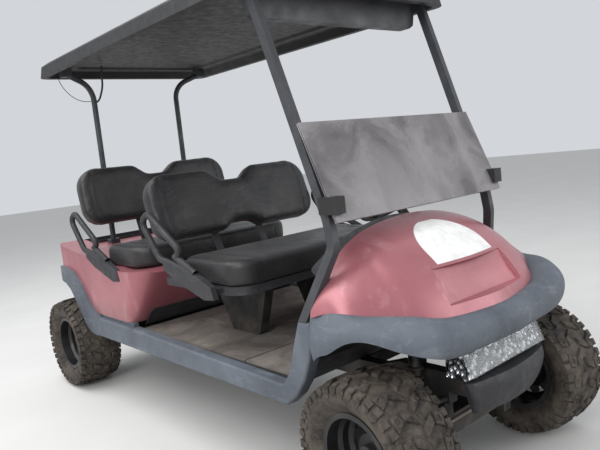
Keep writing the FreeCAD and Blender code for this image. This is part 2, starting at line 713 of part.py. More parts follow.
LIGHT_HALF = 246
housing_side = [(-1400, 490.3), (-1486, 490.3), (-1498, 500), (-1466, 578), (-1400, 578)]
housing = slab_yz(housing_side, 0, -LIGHT_HALF, LIGHT_HALF)
keep("light_bar_housing", housing, NOSE_SHIFT)
lens_side = [(-1498.3, 500), (-1512, 503), (-1480, 580), (-1466.3, 578)]
lens = slab_yz(lens_side, [0, 4, 4, 0], 6 - LIGHT_HALF, LIGHT_HALF - 6)
keep("light_bar_lens", lens, NOSE_SHIFT)


# Windshield, struts and roof

screen_bottom = V(0, -1206 + NOSE_SHIFT, 1077)
screen_turn = FreeCAD.Rotation(X_AXIS, -size["screen_lean"])
# The upper half of the windshield is folded down behind the lower half.
screens = []
for name, depth in (("LowerScreen", 0), ("UpperScreen", size["screen_pitch"])):
    corner = screen_bottom + screen_turn.multVec(V(-size["screen_half"], depth, 0))
    screens.append(primitive("Part::Box", name, corner, screen_turn, Length="Sizes.screen_half * 2",
                             Width="Sizes.screen_thickness", Height="Sizes.screen_height"))
gather("Part::Compound", "windshield_panels", "Links", screens)
doc.recompute()
screen_shape = nodes["windshield_panels"].Shape

roof_front_y = FRONT_AXLE + size["roof_front"]
roof_rear_y = REAR_AXLE - size["roof_rear"]
roof_middle = (roof_front_y + roof_rear_y) / 2
roof_length = roof_rear_y - roof_front_y
ceiling = 38
fascia, crown = size["roof_fascia"], size["roof_crown"]


def roof_wire(inset, z, radius):
    x = size["roof_half"] - inset
    y = roof_length / 2 - inset
    return outline_xy([(-x, -y), (x, -y), (x, y), (-x, y)], radius, z)


roof = Part.makeLoft([roof_wire(0, 0, 70), roof_wire(10, fascia, 70),
                      roof_wire(40, fascia + crown * 0.5, 90),
                      roof_wire(170, fascia + crown, 90)], True, True)
# Moulded recess underneath, and a shallower one in its middle: columns are inset, depth and corner radius.
for rows in (((34, -1, 50), (62, ceiling, 50)), ((150, ceiling - 1, 60), (170, ceiling + 12, 60))):
    roof = roof.cut(Part.makeLoft([roof_wire(inset, z, radius) for inset, z, radius in rows], True, True))
roof.rotate(ORIGIN, X_AXIS, size["roof_pitch"])
roof.translate(V(0, roof_middle, size["roof_rim"]))
keep("roof_canopy", roof)

ROOF_LIFT = size["roof_rim"] - 1943
strut_top_x = size["roof_half"] - 83
CLEAR = 1.5
strut_low_x = size["screen_half"] - 21
strut_points = [V(strut_top_x, roof_front_y + 116, 2006 + ROOF_LIFT),
                V(strut_low_x, -1138 + NOSE_SHIFT, 1085),
                V(strut_low_x + 1, -1152 + NOSE_SHIFT, 985), V(ROCKER_HALF - 12, -1063 + NOSE_SHIFT, 725)]
front_strut = bar(strut_points, [0, 200, 60, 0], size["strut_depth"], size["strut_width"]).cut(roof)
ROCKER_TOP = 735
front_strut = front_strut.cut(block(400, 700, -1300 + NOSE_SHIFT, -900 + NOSE_SHIFT, 600,
                                    ROCKER_TOP + size["gap"]))

# The cowl's rear edges are notched round the struts.
strut_space = bar(strut_points, [0, 200, 60, 0], size["strut_depth"] + 2 * CLEAR,
                  size["strut_width"] + 2 * CLEAR)
cowl = cowl.cut(pair(strut_space))
cowl = max(cowl.Solids, key=lambda solid: solid.Volume)
keep("front_cowl", cowl)

clip = block(size["screen_half"] - 42, size["screen_half"] + 12, -1208 + NOSE_SHIFT, -1128 + NOSE_SHIFT,
             1105, 1165)
seat_space = bar(strut_points, [0, 200, 60, 0], size["strut_depth"] + 2 * size["gap"],
                 size["strut_width"] + 2 * size["gap"])
clip = clip.cut(screen_shape).cut(seat_space)
clip = max(clip.Solids, key=lambda solid: solid.Volume)
keep("windshield_clips", pair(clip))

beam_half = size["roof_half"] - 102
beam_side = [(-beam_half, 1990), (beam_half, 1990), (beam_half, 1937), (beam_half - 16, 1862),
             (beam_half - 46, 1846),
             (46 - beam_half, 1846), (16 - beam_half, 1862), (-beam_half, 1937)]
beam = slab_xz([(x, z + ROOF_LIFT) for x, z in beam_side], [0, 0, 0, 12, 12, 12, 12, 0],
               roof_front_y + 119, roof_front_y + 174)
keep("roof_front_beam", beam.cut(roof).cut(pair(front_strut)))


# Rear body

BODY_LOW = 522
SEAT_LEVEL = 812
# Top line of the body's side: columns are y and z.
BODY_TOP = [(457, 800), (642, 827), (847, 856), (1372, 923)]
FRONT_LEAN = 27.7


def front_wall_y(z):
    return 392 - (z - 500) * math.tan(math.radians(FRONT_LEAN))


def deck_z(y):
    """Height of the body's deck behind the seat."""
    (y0, z0), (y1, z1) = BODY_TOP[2], BODY_TOP[3]
    return z0 + (z1 - z0) * (y - y0) / (y1 - y0)


def body_plan(inset):
    half = size["body_half"] - inset
    tail = BODY_TAIL - inset
    bend = half - 150
    points = [(-half, 200), (half, 200), (half, BODY_TAIL - 222), (bend, tail - 30), (0, tail), (-bend, tail - 30),
              (-half, BODY_TAIL - 222)]
    return points, [0, 0, 160, 120, 0, 120, 160]


def body_side(inset):
    low = BODY_LOW + inset
    level = SEAT_LEVEL - inset
    lean = inset / math.cos(math.radians(FRONT_LEAN))
    top = [(front_wall_y(low) + lean, low), (front_wall_y(level) + lean, level)]
    top += [(y, z - inset) for y, z in BODY_TOP]
    tail = BODY_TAIL - inset
    top += [(BODY_TAIL - 82 - inset, 905 - inset), (tail, 800), (tail, low)]
    return top, [0, 20, 0, 60, 60, 80, 60, 60, 0]


def body_corner(inset):
    """Front corners in plan, rounder towards the top: a loft between two heights."""
    wires = []
    half = size["body_half"] - inset
    for z, radius in ((480, 70), (1000, 170)):
        front = front_wall_y(z) + inset
        wires.append(outline_xy([(-half, front), (half, front), (half, 1700), (-half, 1700)],
                                [radius, radius, 0, 0], z))
    return Part.makeLoft(wires, True, True)


def body_solid(inset):
    points, radii = body_side(inset)
    side = slab_yz(points, radii, -size["body_half"] - 100, size["body_half"] + 100)
    plan_points, plan_radii = body_plan(inset)
    plan = slab_xy(plan_points, plan_radii, 400, 1000)
    return side.common(plan).common(body_corner(inset))


def rectangle(x, low, high):
    return [(-x, low), (x, low), (x, high), (-x, high)]


# Edge where the flare meets the body, seen from the side: columns are y and z.
FLARE_TOP = [(790, 505), (905, 565), (1019, 684), (1110, 752), (1220, 778), (1400, 774), (1560, 690)]
FLARE_INNER = 330
OUTSIDE = size["body_half"] + 120
arch_side = FLARE_TOP + [(1560, 400), (790, 400)]
arch_space = pair(slab_yz(arch_side, [0, 60, 60, 60, 60, 60, 0, 0, 0], FLARE_INNER, OUTSIDE))
wall = size["panel_wall"]
# Recess that holds the rear cushion, with a wall of its own.
seat_low = SEAT_LEVEL - size["gap"]
recess_half = SEAT_HALF + 6
seat_recess = slab_xy(rectangle(recess_half, 290, 770), [126, 126, 60, 60], seat_low, 1000)
recess_shell = slab_xy(rectangle(recess_half + wall, 284, 776), [132, 132, 66, 66], seat_low - wall, 1000)
seat_opening = slab_xy(rectangle(recess_half - 66, 360, 700), 40, 700, 1000)
WELL_HALF = 400
bag_opening = slab_xy(rectangle(WELL_HALF, 1180, 1440), 40, 860, 1000)
underside = slab_xy(rectangle(size["body_half"] - 40, 420, BODY_TAIL - 52), 60, BODY_LOW - 50, BODY_LOW + 50)
body_outer = body_solid(0)
rear_body = body_outer.cut(body_solid(wall).cut(recess_shell))
for space in (seat_recess, seat_opening, bag_opening, arch_space, underside):
    rear_body = rear_body.cut(space)
keep("rear_body", rear_body, TAIL_SHIFT)

# Opening of the wheel arch, seen from the side: columns are y and z.
FLARE_LOW = [(1530, 500), (1500, 570), (1440, 645), (1332, 690), (1248, 677), (1177, 640), (1062, 510),
             (1006, 447), (940, 402), (862, 392)]
flare_side = [(830.3, 392), (800.3, 505)] + FLARE_TOP[1:-1] + [(1560, 690), (1560, 500)] + FLARE_LOW
flare_radii = [0, 0, 60, 60, 60, 60, 60, 0, 0, 20, 60, 80, 80, 80, 80, 80, 60, 40, 0]
flare_band = pair(slab_yz(flare_side, flare_radii, FLARE_INNER + size["gap"], OUTSIDE))
flare_points, flare_plan_radii = body_plan(-size["rocker_stand"])
inner_points, inner_radii = body_plan(22)
flare_skin = slab_xy(flare_points, flare_plan_radii, 380,
                     800).cut(slab_xy(inner_points, inner_radii, 300, 900))
flares = flare_band.common(flare_skin).cut(block(-OUTSIDE, OUTSIDE, 0, 800.3, 300, 900))
keep("rear_fender_flares", flares, TAIL_SHIFT)

seated = WELL_HALF - size["gap"]
well = slab_xy(rectangle(seated, 1180 + size["gap"], 1440 - size["gap"]), 39.7, 760, 912)
well = well.cut(slab_xy(rectangle(WELL_HALF - 8, 1188, 1432), 32, 766, 1000))
keep("bag_well", well, TAIL_SHIFT)

kick_low = size["body_half"] - 80
kick_back = -size["gap"]
kick = slab_xz([(-kick_low, 0), (kick_low, 0), (kick_low - 30, 92), (30 - kick_low, 92)], [0, 0, 30, 30],
               kick_back - 6, kick_back)
ridges = [rod(V(50 - kick_low, kick_back - 6, z), V(kick_low - 50, kick_back - 6, z), 3) for z in (20, 34,
                                                                                                   48, 62)]
kick = fused([kick] + ridges)
kick.rotate(ORIGIN, X_AXIS, FRONT_LEAN)
kick.translate(V(0, 392, 500))
keep("rear_kick_plate", kick, TAIL_SHIFT)

tail_lamp = block(238, 304, BODY_TAIL - 72, BODY_TAIL - 4, 690, 760).cut(body_outer)
tail_lamp = max(tail_lamp.Solids, key=lambda solid: solid.Volume)
keep("tail_lamps", pair(tail_lamp), TAIL_SHIFT)

strut_foot = deck_z(1125) + size["gap"]
rear_top = roof_rear_y - TAIL_SHIFT - 155
rear_strut = tube([V(295, 1125, strut_foot), V(295, rear_top + 48, 1886 + ROOF_LIFT),
                   V(size["roof_half"] - 126, rear_top, 1955 + ROOF_LIFT)], [0, 130, 0],
                   size["rear_strut_tube"])
foot_plate = slab_xy([(262, 1092), (328, 1092), (328, 1160), (262, 1160)], 10, 880, 915)
foot_plate = foot_plate.cut(body_outer).cut(bag_opening)
pad_x = size["roof_half"] - 148
roof_pad = block(pad_x, pad_x + 60, rear_top - 27, rear_top + 25, 1940 + ROOF_LIFT, 2000 + ROOF_LIFT)
rear_strut = fused([rear_strut.cut(body_outer), foot_plate, roof_pad])
rear_strut.translate(V(0, TAIL_SHIFT, 0))
keep("roof_struts", Part.makeCompound([front_strut, mirrored(front_strut), rear_strut.cut(roof),
                                       mirrored(rear_strut.cut(roof))]))

battery = primitive("Part::Box", "battery_block",
                    V(-size["battery_width"] / 2, 480 + TAIL_SHIFT, size["floor_top"]),
                    NO_TURN, Length="Sizes.battery_width", Width="Sizes.battery_length",
                    Height="Sizes.battery_height")
nodes["battery_block"] = battery


# Seats

SEAT_FRONT = -600
SEAT_BOTTOM = 790
REAR_SEAT_FRONT = 300


def cushion(front_y, depth, bottom):
    plan = rectangle(SEAT_HALF, front_y, front_y + depth)
    top = bottom + size["cushion_height"]
    pad = slab_xy(plan, [120, 120, 60, 60], bottom, top)
    return pad.makeFillet(26, [edge for edge in pad.Edges if edge.BoundBox.ZMin > top - 1])


def seat_back(foot_y, foot_z, tilt):
    """Two-hump seat back, outline in X and height, tilted about its foot."""
    half = SEAT_HALF
    # Right half of the outline from the valley down to the notch: columns are x, z and corner radius.
    right = [(62, 296, 60), (150, 362, 70), (half, 362, 130), (half, 0, 110), (120, 0, 60), (62, 38, 60)]
    rows = right + [(-x, z, radius) for x, z, radius in reversed(right)]
    pad = slab_xz([(x, z) for x, z, radius in rows], [radius for x, z, radius in rows], 0,
                  size["back_thickness"])
    pad = pad.makeFillet(26, [edge for edge in pad.Edges if edge.BoundBox.YMax < 1])
    pad.rotate(ORIGIN, X_AXIS, -tilt)
    pad.translate(V(0, foot_y, foot_z))
    return pad


keep("front_seat_cushion", cushion(SEAT_FRONT, 480, SEAT_BOTTOM))
keep("rear_seat_cushion", cushion(REAR_SEAT_FRONT, 440, SEAT_LEVEL), TAIL_SHIFT)
# Seat backs: foot y, foot z and tilt.
FRONT_BACK = (30, 968, 18)
REAR_BACK = (915, 1035, 12)
rear_back = seat_back(*REAR_BACK)
rear_back.translate(V(0, TAIL_SHIFT, 0))
keep("seat_backs", Part.makeCompound([seat_back(*FRONT_BACK), rear_back]))


def back_post(x, foot, back, rise):
    """Flat bar from its foot up the rear face of a seat back."""
    back_y, back_z, tilt = back
    angle = math.radians(tilt)
    reach = size["back_thickness"] + 6 + size["gap"]
    low = (back_y + reach * math.cos(angle), back_z - reach * math.sin(angle))
    high = (low[0] + rise * math.sin(angle), low[1] + rise * math.cos(angle))
    return bar([V(x, foot[0], foot[1]), V(x, low[0], low[1]), V(x, high[0], high[1])], [0, 40, 0], 40, 12)


POSTS_X = (-150, 150)
tray_half = SEAT_HALF - 15
tray_low = SEAT_BOTTOM - 38
tray = slab_xy(rectangle(tray_half, -580, 70), [100, 100, 30, 30], tray_low, SEAT_BOTTOM - size["gap"])
tray = tray.cut(slab_xy(rectangle(tray_half - 25, -555, 45), [80, 80, 20, 20], 700, SEAT_BOTTOM - 10))
posts = [back_post(x, (52, SEAT_BOTTOM - 15), FRONT_BACK, 240) for x in POSTS_X]
keep("front_seat_frame", fused([tray] + posts))

# The pedestals stand between the mat and the tray.
leg_top = SEAT_BOTTOM - 10 - size["gap"]
leg_low = mat_top + size["gap"]
leg = slab_yz([(-455, leg_top), (30, leg_top), (-125, leg_low), (-345, leg_low)], [0, 0, 25, 25], 222, 272)
rear_posts = [back_post(x, (960, 850), REAR_BACK, 220).cut(body_outer) for x in POSTS_X]
for post in rear_posts:
    post.translate(V(0, TAIL_SHIFT, 0))
keep("seat_supports", Part.makeCompound([leg, mirrored(leg)] + rear_posts))


def hip_restraint(shift_y, shift_z):
    """Closed hoop beside the seat, with the moulded plate under its lower bar."""
    loop = [(-470, 790), (50, 1118), (125, 1075), (-20, 898), (-330, 850)]
    points = [V(HOOP_X, y + shift_y, z + shift_z) for y, z in loop]
    start = (points[0] + points[1]) * 0.5
    ring = tube([start] + points[1:] + [points[0], start], [0, 40, 36, 60, 40, 26, 0], size["hoop_tube"])
    plate_side = [(-480, 745), (-462, 800), (-330, 850), (-60, 888), (-70, 850), (-170, 805), (-400, 738)]
    plate = slab_yz([(y + shift_y, z + shift_z) for y, z in plate_side], 0, HOOP_X - 13, HOOP_X + 13)
    return fused([ring, plate])


bracket = block(tray_half + size["gap"], HOOP_X - 11, -455, -345, tray_low + 10, SEAT_BOTTOM - 6)
front_hoop = fused([hip_restraint(0, 0), bracket])
rear_hoop = hip_restraint(943, 3).cut(body_outer)
rear_hoop = max(rear_hoop.Solids, key=lambda solid: solid.Volume)
rear_hoop.translate(V(0, TAIL_SHIFT, 0))
keep("hip_restraints", Part.makeCompound([front_hoop, mirrored(front_hoop), rear_hoop, mirrored(rear_hoop)]))


# Steering wheel, column and pedals

hub_depth = 48
column_turn = FreeCAD.Rotation(Z_AXIS, column_axis)
hand_wheel = [
    primitive("Part::Torus", "HandWheelRim", wheel_centre, column_turn, Radius1="Sizes.wheel_rim_radius",
              Radius2="Sizes.wheel_rim_tube / 2"),
    primitive("Part::Cylinder", "HandWheelHub", wheel_centre - column_axis * hub_depth, column_turn,
              Radius="Sizes.wheel_rim_radius / 4", Height="40"),
]
for angle in (0, 90, 180):
    outward = FreeCAD.Rotation(column_axis, angle).multVec(X_AXIS)
    start = wheel_centre - column_axis * 30 + outward * 30
    reach = wheel_centre + outward * (size["wheel_rim_radius"] - 5) - start
    spoke = primitive("Part::Cylinder", "Spoke%d" % angle, start, FreeCAD.Rotation(Z_AXIS, reach),
                      Radius="9")
    spoke.Height = reach.Length
    hand_wheel.append(spoke)
gather("Part::MultiFuse", "steering_wheel", "Shapes", hand_wheel)

column_top = wheel_centre - column_axis * (hub_depth + size["gap"])
column = rod(column_top, column_low, 21)
joint_shaft = rod(column_low, pinion_top, 11)
pinion = rod(V(pinion_top.x, rack_y, 434), pinion_top + V(0, 0, 6), 20)
rack = rod(V(-165, rack_y, 440), V(165, rack_y, 440), 20)
hanger = rod(wheel_centre - column_axis * 250, V(270, -1075 + NOSE_SHIFT, 905),
             12).cut(nodes["dash_panel"].Shape)
hanger = max(hanger.Solids, key=lambda solid: solid.Volume)
keep("steering_column", fused([column, joint_shaft, pinion, rack, hanger]))

pedals = []
# Pedals: columns are x and width.
for x, width in ((380, 60), (160, 90)):
    pad = slab_yz([(-1020, 570), (-965, 630), (-955, 620), (-1010, 560)], 0, x - width / 2, x + width / 2)
    stem = rod(V(x, -1000, 590), V(x, -1085, 600), 7)
    pedal = fused([pad, stem])
    pedal.translate(V(0, NOSE_SHIFT, 0))
    pedal = max(pedal.cut(floor_pan).Solids, key=lambda solid: solid.Volume)
    pedals.append(pedal)
keep("pedals", Part.makeCompound(pedals))


# Rear axle and springs

half_axle = size["rear_track"] / 2 - 60
axle = rod(V(-half_axle, REAR_AXLE, AXLE_Z), V(half_axle, REAR_AXLE, AXLE_Z), size["axle_tube"] / 2)
gearbox = Part.makeCylinder(95, 130, V(-20, REAR_AXLE, AXLE_Z), X_AXIS)
motor = Part.makeCylinder(80, 215, V(-235, REAR_AXLE - 70, AXLE_Z + 5), X_AXIS)
hub_end = size["rear_track"] / 2 + HUB_FACE - size["gap"]
hubs = []
for side in (1, -1):
    hubs.append(rod(V(side * (half_axle - 5), REAR_AXLE, AXLE_Z),
                    V(side * (hub_end - 20), REAR_AXLE, AXLE_Z), 20))
    hubs.append(rod(V(side * (hub_end - 40), REAR_AXLE, AXLE_Z), V(side * hub_end, REAR_AXLE, AXLE_Z),
                    size["hub_radius"]))
keep("rear_axle_housing", fused([axle, gearbox, motor] + hubs))

springs = []
leaf_low = AXLE_Z + size["axle_tube"] / 2 + size["gap"]
SPRING_EYE = 372
# Leaves of one spring, longest first: columns are the front end, the rear end and the lift above the axle pad.
LEAVES = [(-310, 185, 0), (-230, 150, 8), (-150, 110, 16)]
for side in (1, -1):
    x = side * (size["rail_x"] + 80)
    pieces = []
    for front, rear, lift in LEAVES:
        base = leaf_low + lift
        rise = (SPRING_EYE - leaf_low) if lift == 0 else 22
        pieces.append(slab_yz([(REAR_AXLE + front, base + rise), (REAR_AXLE - 100, base), (REAR_AXLE + 90, base),
                               (REAR_AXLE + rear, base + rise), (REAR_AXLE + rear, base + rise + 10),
                               (REAR_AXLE + 90, base + 10), (REAR_AXLE - 100, base + 10),
                               (REAR_AXLE + front, base + rise + 10)], 0, x - 25, x + 25))
    near = side * (size["rail_x"] + size["rail_width"] / 2 + size["gap"])
    bracket_low, bracket_high = sorted((near, x + side * 25))
    for y in (REAR_AXLE - 310, REAR_AXLE + 185):
        pieces.append(block(x - 25, x + 25, y - 14, y + 14, SPRING_EYE - 6, 440))
        pieces.append(block(bracket_low, bracket_high, y - 14, y + 14, 420, 440))
    springs.append(fused(pieces))
keep("rear_springs", Part.makeCompound(springs))


# Hanging leads under the roof

# Points of the two leads, chosen along their routes: columns are x, y, z.
ROOF_LEAD = [(-300, 925, 1986), (-303, 933, 1925), (-298, 952, 1868), (-301, 990, 1818), (-297, 1040, 1790),
             (-296, 1098, 1786)]
LAMP_WIRE = [(-313, 1117, 1800), (-345, 1122, 1796), (-398, 1130, 1812), (-446, 1136, 1852),
             (-480, 1140, 1905),
             (-492, 1142, 1950), (-495, 1143, 1988)]


def lead(points, diameter):
    """Tube of straight runs joined by tangent arcs as large as the runs allow."""
    points = [V(x, y + TAIL_SHIFT, z + ROOF_LIFT) for x, y, z in points]
    radii = [0]
    for before, here, after in zip(points, points[1:], points[2:]):
        turn = (here - before).getAngle(after - here)
        shorter = min((here - before).Length, (after - here).Length)
        radii.append(0.45 * shorter / math.tan(turn / 2))
    radii.append(0)
    return tube(points, radii, diameter)


keep("roof_lead", lead(ROOF_LEAD, 12))
keep("lamp_wire", lead(LAMP_WIRE, 4))

doc.recompute()
for item in doc.Objects:
    if "Invalid" in item.State or "Error" in item.State:
        raise RuntimeError("object failed: " + item.Label)
for label, item in nodes.items():
    if item.Shape.isNull() or not item.Shape.isValid() or not item.Shape.Solids:
        raise RuntimeError("shape failed: " + label)

os.makedirs("parts", exist_ok=True)
for label, item in nodes.items():
    item.Shape.exportStep("parts/%s.step" % label)
print("nodes", len(nodes))
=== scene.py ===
import bpy
import bmesh
import json
import math
import numpy as np
from mathutils import Matrix, Quaternion, Vector
from mathutils.bvhtree import BVHTree


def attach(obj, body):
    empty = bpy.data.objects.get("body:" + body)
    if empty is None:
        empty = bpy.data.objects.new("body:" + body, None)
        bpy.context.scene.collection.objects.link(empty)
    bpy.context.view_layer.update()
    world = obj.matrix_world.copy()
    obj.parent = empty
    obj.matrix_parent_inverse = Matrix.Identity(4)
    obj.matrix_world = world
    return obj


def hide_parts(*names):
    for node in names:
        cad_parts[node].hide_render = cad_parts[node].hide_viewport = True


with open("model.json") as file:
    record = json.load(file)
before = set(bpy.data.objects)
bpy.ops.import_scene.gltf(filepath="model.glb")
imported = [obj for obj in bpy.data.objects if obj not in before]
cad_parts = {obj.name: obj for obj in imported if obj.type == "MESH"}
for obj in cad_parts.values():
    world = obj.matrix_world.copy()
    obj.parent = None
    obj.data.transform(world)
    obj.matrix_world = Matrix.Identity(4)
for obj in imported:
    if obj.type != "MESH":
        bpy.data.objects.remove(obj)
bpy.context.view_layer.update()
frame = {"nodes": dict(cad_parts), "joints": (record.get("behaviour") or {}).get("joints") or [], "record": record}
scene = bpy.context.scene
nodes = frame["nodes"]


# Colours and node graphs

def srgb(r, g, b):
    """Linear colour from 0-255 display values."""
    out = []
    for c in (r, g, b):
        c /= 255
        out.append(c / 12.92 if c <= 0.04045 else ((c + 0.055) / 1.055) ** 2.4)
    return (*out, 1.0)


class Graph:
    """A Principled material built up node by node in object coordinates."""

    def __init__(self, name, colour, rough, metal=0.0, specular=0.5, coat=0.0, coat_rough=0.1, sheen=0.0,
                 alpha=1.0):
        self.material = bpy.data.materials.new(name)
        self.material.use_nodes = True
        self.tree = self.material.node_tree
        self.tree.nodes.clear()
        output = self.node("ShaderNodeOutputMaterial")
        self.shader = self.node("ShaderNodeBsdfPrincipled")
        self.tree.links.new(self.shader.outputs[0], output.inputs[0])
        values = {"Base Color": colour, "Roughness": rough, "Metallic": metal, "Specular IOR Level": specular,
                  "Coat Weight": coat, "Coat Roughness": coat_rough, "Sheen Weight": sheen, "Alpha": alpha}
        for socket, value in values.items():
            self.shader.inputs[socket].default_value = value
        self.coords = self.node("ShaderNodeTexCoord").outputs["Object"]
        self.normal = None

    def node(self, kind, **settings):
        made = self.tree.nodes.new(kind)
        for key, value in settings.items():
            setattr(made, key, value)
        return made

    def feed(self, socket, value):
        if isinstance(value, bpy.types.NodeSocket):
            self.tree.links.new(value, socket)
        elif value is not None:
            socket.default_value = value

    def scaled(self, x, y, z):
        """Object coordinates stretched by a factor along each axis."""
        mapping = self.node("ShaderNodeMapping")
        self.feed(mapping.inputs["Vector"], self.coords)
        mapping.inputs["Scale"].default_value = (x, y, z)
        return mapping.outputs[0]

    def noise(self, scale, detail=4.0, rough=0.55, distortion=0.0, vector=None):
        made = self.node("ShaderNodeTexNoise")
        self.feed(made.inputs["Vector"], vector or self.coords)
        made.inputs["Scale"].default_value = scale
        made.inputs["Detail"].default_value = detail
        made.inputs["Roughness"].default_value = rough
        made.inputs["Distortion"].default_value = distortion
        return made.outputs["Fac"]

    def cells(self, scale, feature="F1", vector=None, smooth=0.0):
        made = self.node("ShaderNodeTexVoronoi", feature=feature)
        self.feed(made.inputs["Vector"], vector or self.coords)
        made.inputs["Scale"].default_value = scale
        return made.outputs["Distance"]

    def ramp(self, value, low, high, low_out=0.0, high_out=1.0):
        made = self.node("ShaderNodeMapRange", clamp=True)
        self.feed(made.inputs["Value"], value)
        made.inputs["From Min"].default_value = low
        made.inputs["From Max"].default_value = high
        made.inputs["To Min"].default_value = low_out
        made.inputs["To Max"].default_value = high_out
        return made.outputs["Result"]

    def math(self, operation, a, b=None, c=None):
        made = self.node("ShaderNodeMath", operation=operation)
        for socket, value in zip(made.inputs, (a, b, c)):
            self.feed(socket, value)
        return made.outputs[0]

    def axis(self, name):
        split = self.node("ShaderNodeSeparateXYZ")
        self.feed(split.inputs[0], self.coords)
        return split.outputs[name]

    def mix(self, factor, a, b, blend="MIX"):
        made = self.node("ShaderNodeMix", data_type="RGBA", blend_type=blend)
        self.feed(made.inputs[0], factor)
        self.feed(made.inputs[6], a)
        self.feed(made.inputs[7], b)
        return made.outputs[2]

    def colour(self, value):
        self.feed(self.shader.inputs["Base Color"], value)

    def rough(self, value):
        self.feed(self.shader.inputs["Roughness"], value)

    def bump(self, height, strength=0.3, distance=0.002):
        made = self.node("ShaderNodeBump")
        made.inputs["Strength"].default_value = strength
        made.inputs["Distance"].default_value = distance
        self.feed(made.inputs["Height"], height)
        if self.normal is not None:
            self.feed(made.inputs["Normal"], self.normal)
        self.normal = made.outputs[0]
        self.feed(self.shader.inputs["Normal"], self.normal)


def faded_paint():
    """Rose metallic body paint, sun-faded, with soft streaks and road dust low down."""
    g = Graph("paint_rose", srgb(158, 96, 103), 0.4, metal=0.35, coat=0.3, coat_rough=0.24)
    base = g.mix(g.ramp(g.noise(1.7, 5, 0.6, 0.4), 0.35, 0.68), srgb(146, 84, 92), srgb(174, 110, 116))
    streak = g.noise(9, 6, 0.65, 0.2, g.scaled(1.0, 1.0, 0.16))
    base = g.mix(g.ramp(streak, 0.56, 0.74, 0.0, 0.5), base, srgb(196, 150, 153))
    scuff = g.noise(60, 8, 0.7, 1.5, g.scaled(0.3, 1.0, 1.0))
    base = g.mix(g.ramp(scuff, 0.63, 0.72, 0.0, 0.35), base, srgb(214, 184, 184))
    dust = g.math("MULTIPLY", g.ramp(g.axis("Z"), 0.62, 0.52), g.ramp(g.noise(14, 6, 0.7), 0.35, 0.7))
    g.colour(g.mix(dust, base, srgb(120, 92, 88)))
    g.rough(g.ramp(g.noise(6, 6, 0.65), 0.3, 0.75, 0.32, 0.52))
    g.bump(g.noise(2200, 2, 0.5), 0.05, 0.0004)
    g.bump(g.noise(3.5, 2, 0.5), 0.12, 0.004)
    return g.material


def weathered_plastic(name, dark, light, scuffed, rough=0.62):
    """Textured moulded plastic, greyed by the sun, streaked and scuffed."""
    g = Graph(name, dark, rough, specular=0.35)
    base = g.mix(g.ramp(g.noise(3.2, 6, 0.6, 0.5), 0.32, 0.7), dark, light)
    streak = g.noise(26, 7, 0.72, 0.8, g.scaled(0.5, 0.22, 1.0))
    base = g.mix(g.ramp(streak, 0.55, 0.78, 0.0, 0.6), base, scuffed)
    run = g.noise(70, 5, 0.7, 0.3, g.scaled(1.0, 1.0, 0.06))
    base = g.mix(g.ramp(run, 0.58, 0.75, 0.0, 0.35), base, scuffed)
    g.colour(base)
    g.rough(g.ramp(g.noise(20, 6, 0.7), 0.3, 0.7, rough - 0.12, rough + 0.14))
    g.bump(g.noise(900, 3, 0.6), 0.18, 0.0006)
    return g.material


def satin_paint(name, colour, dusty, rough=0.42, amount=0.45):
    """Powder coat with a light film of dust and fine orange peel."""
    g = Graph(name, colour, rough, specular=0.45)
    film = g.ramp(g.noise(7, 7, 0.68, 0.4), 0.42, 0.75, 0.0, amount)
    specks = g.ramp(g.noise(180, 4, 0.7), 0.64, 0.76, 0.0, 0.5)
    g.colour(g.mix(specks, g.mix(film, colour, dusty), dusty))
    g.rough(g.ramp(g.noise(12, 5, 0.6), 0.3, 0.7, rough - 0.06, rough + 0.2))
    g.bump(g.noise(420, 2, 0.5), 0.08, 0.0006)
    return g.material


def tyre_rubber():
    g = Graph("rubber_tyre", srgb(34, 32, 31), 0.72, specular=0.28)
    dusty = g.mix(g.ramp(g.noise(10, 6, 0.7, 0.4), 0.36, 0.68), srgb(33, 31, 30), srgb(88, 80, 72))
    patch = g.ramp(g.noise(55, 8, 0.75, 0.8), 0.5, 0.74, 0.0, 0.7)
    g.colour(g.mix(patch, dusty, srgb(104, 95, 86)))
    g.rough(g.ramp(g.noise(30, 5, 0.6), 0.3, 0.7, 0.62, 0.88))
    g.bump(g.noise(160, 6, 0.7), 0.25, 0.0012)
    return g.material


def seat_vinyl():
    """Black vinyl with a fine leather grain, soft creases and a sheen on the worn parts."""
    g = Graph("vinyl_black", srgb(27, 27, 29), 0.42, specular=0.42, sheen=0.06)
    base = g.mix(g.ramp(g.noise(4, 5, 0.6), 0.35, 0.7), srgb(22, 22, 24), srgb(44, 43, 44))
    dust = g.ramp(g.noise(38, 8, 0.75, 0.6), 0.56, 0.8, 0.0, 0.25)
    g.colour(g.mix(dust, base, srgb(92, 88, 84)))
    g.rough(g.ramp(g.noise(9, 5, 0.6), 0.3, 0.72, 0.36, 0.56))
    crease = g.noise(17, 5, 0.62, 1.8, g.scaled(1.0, 0.5, 1.3))
    g.bump(g.ramp(crease, 0.35, 0.62), 0.22, 0.0035)
    g.bump(g.cells(520), 0.2, 0.0005)
    g.bump(g.noise(1400, 2, 0.5), 0.12, 0.0003)
    return g.material


def floor_rubber():
    g = Graph("rubber_floor", srgb(92, 86, 82), 0.85, specular=0.2)
    base = g.mix(g.ramp(g.noise(5, 7, 0.7, 0.8), 0.34, 0.7), srgb(82, 76, 73), srgb(124, 117, 110))
    smear = g.noise(20, 8, 0.75, 1.6, g.scaled(0.6, 0.25, 1.0))
    base = g.mix(g.ramp(smear, 0.55, 0.74, 0.0, 0.6), base, srgb(150, 143, 134))
    dark = g.ramp(g.noise(13, 5, 0.7), 0.62, 0.75, 0.0, 0.45)
    g.colour(g.mix(dark, base, srgb(58, 54, 52)))
    g.bump(g.noise(240, 5, 0.7), 0.35, 0.0015)
    return g.material


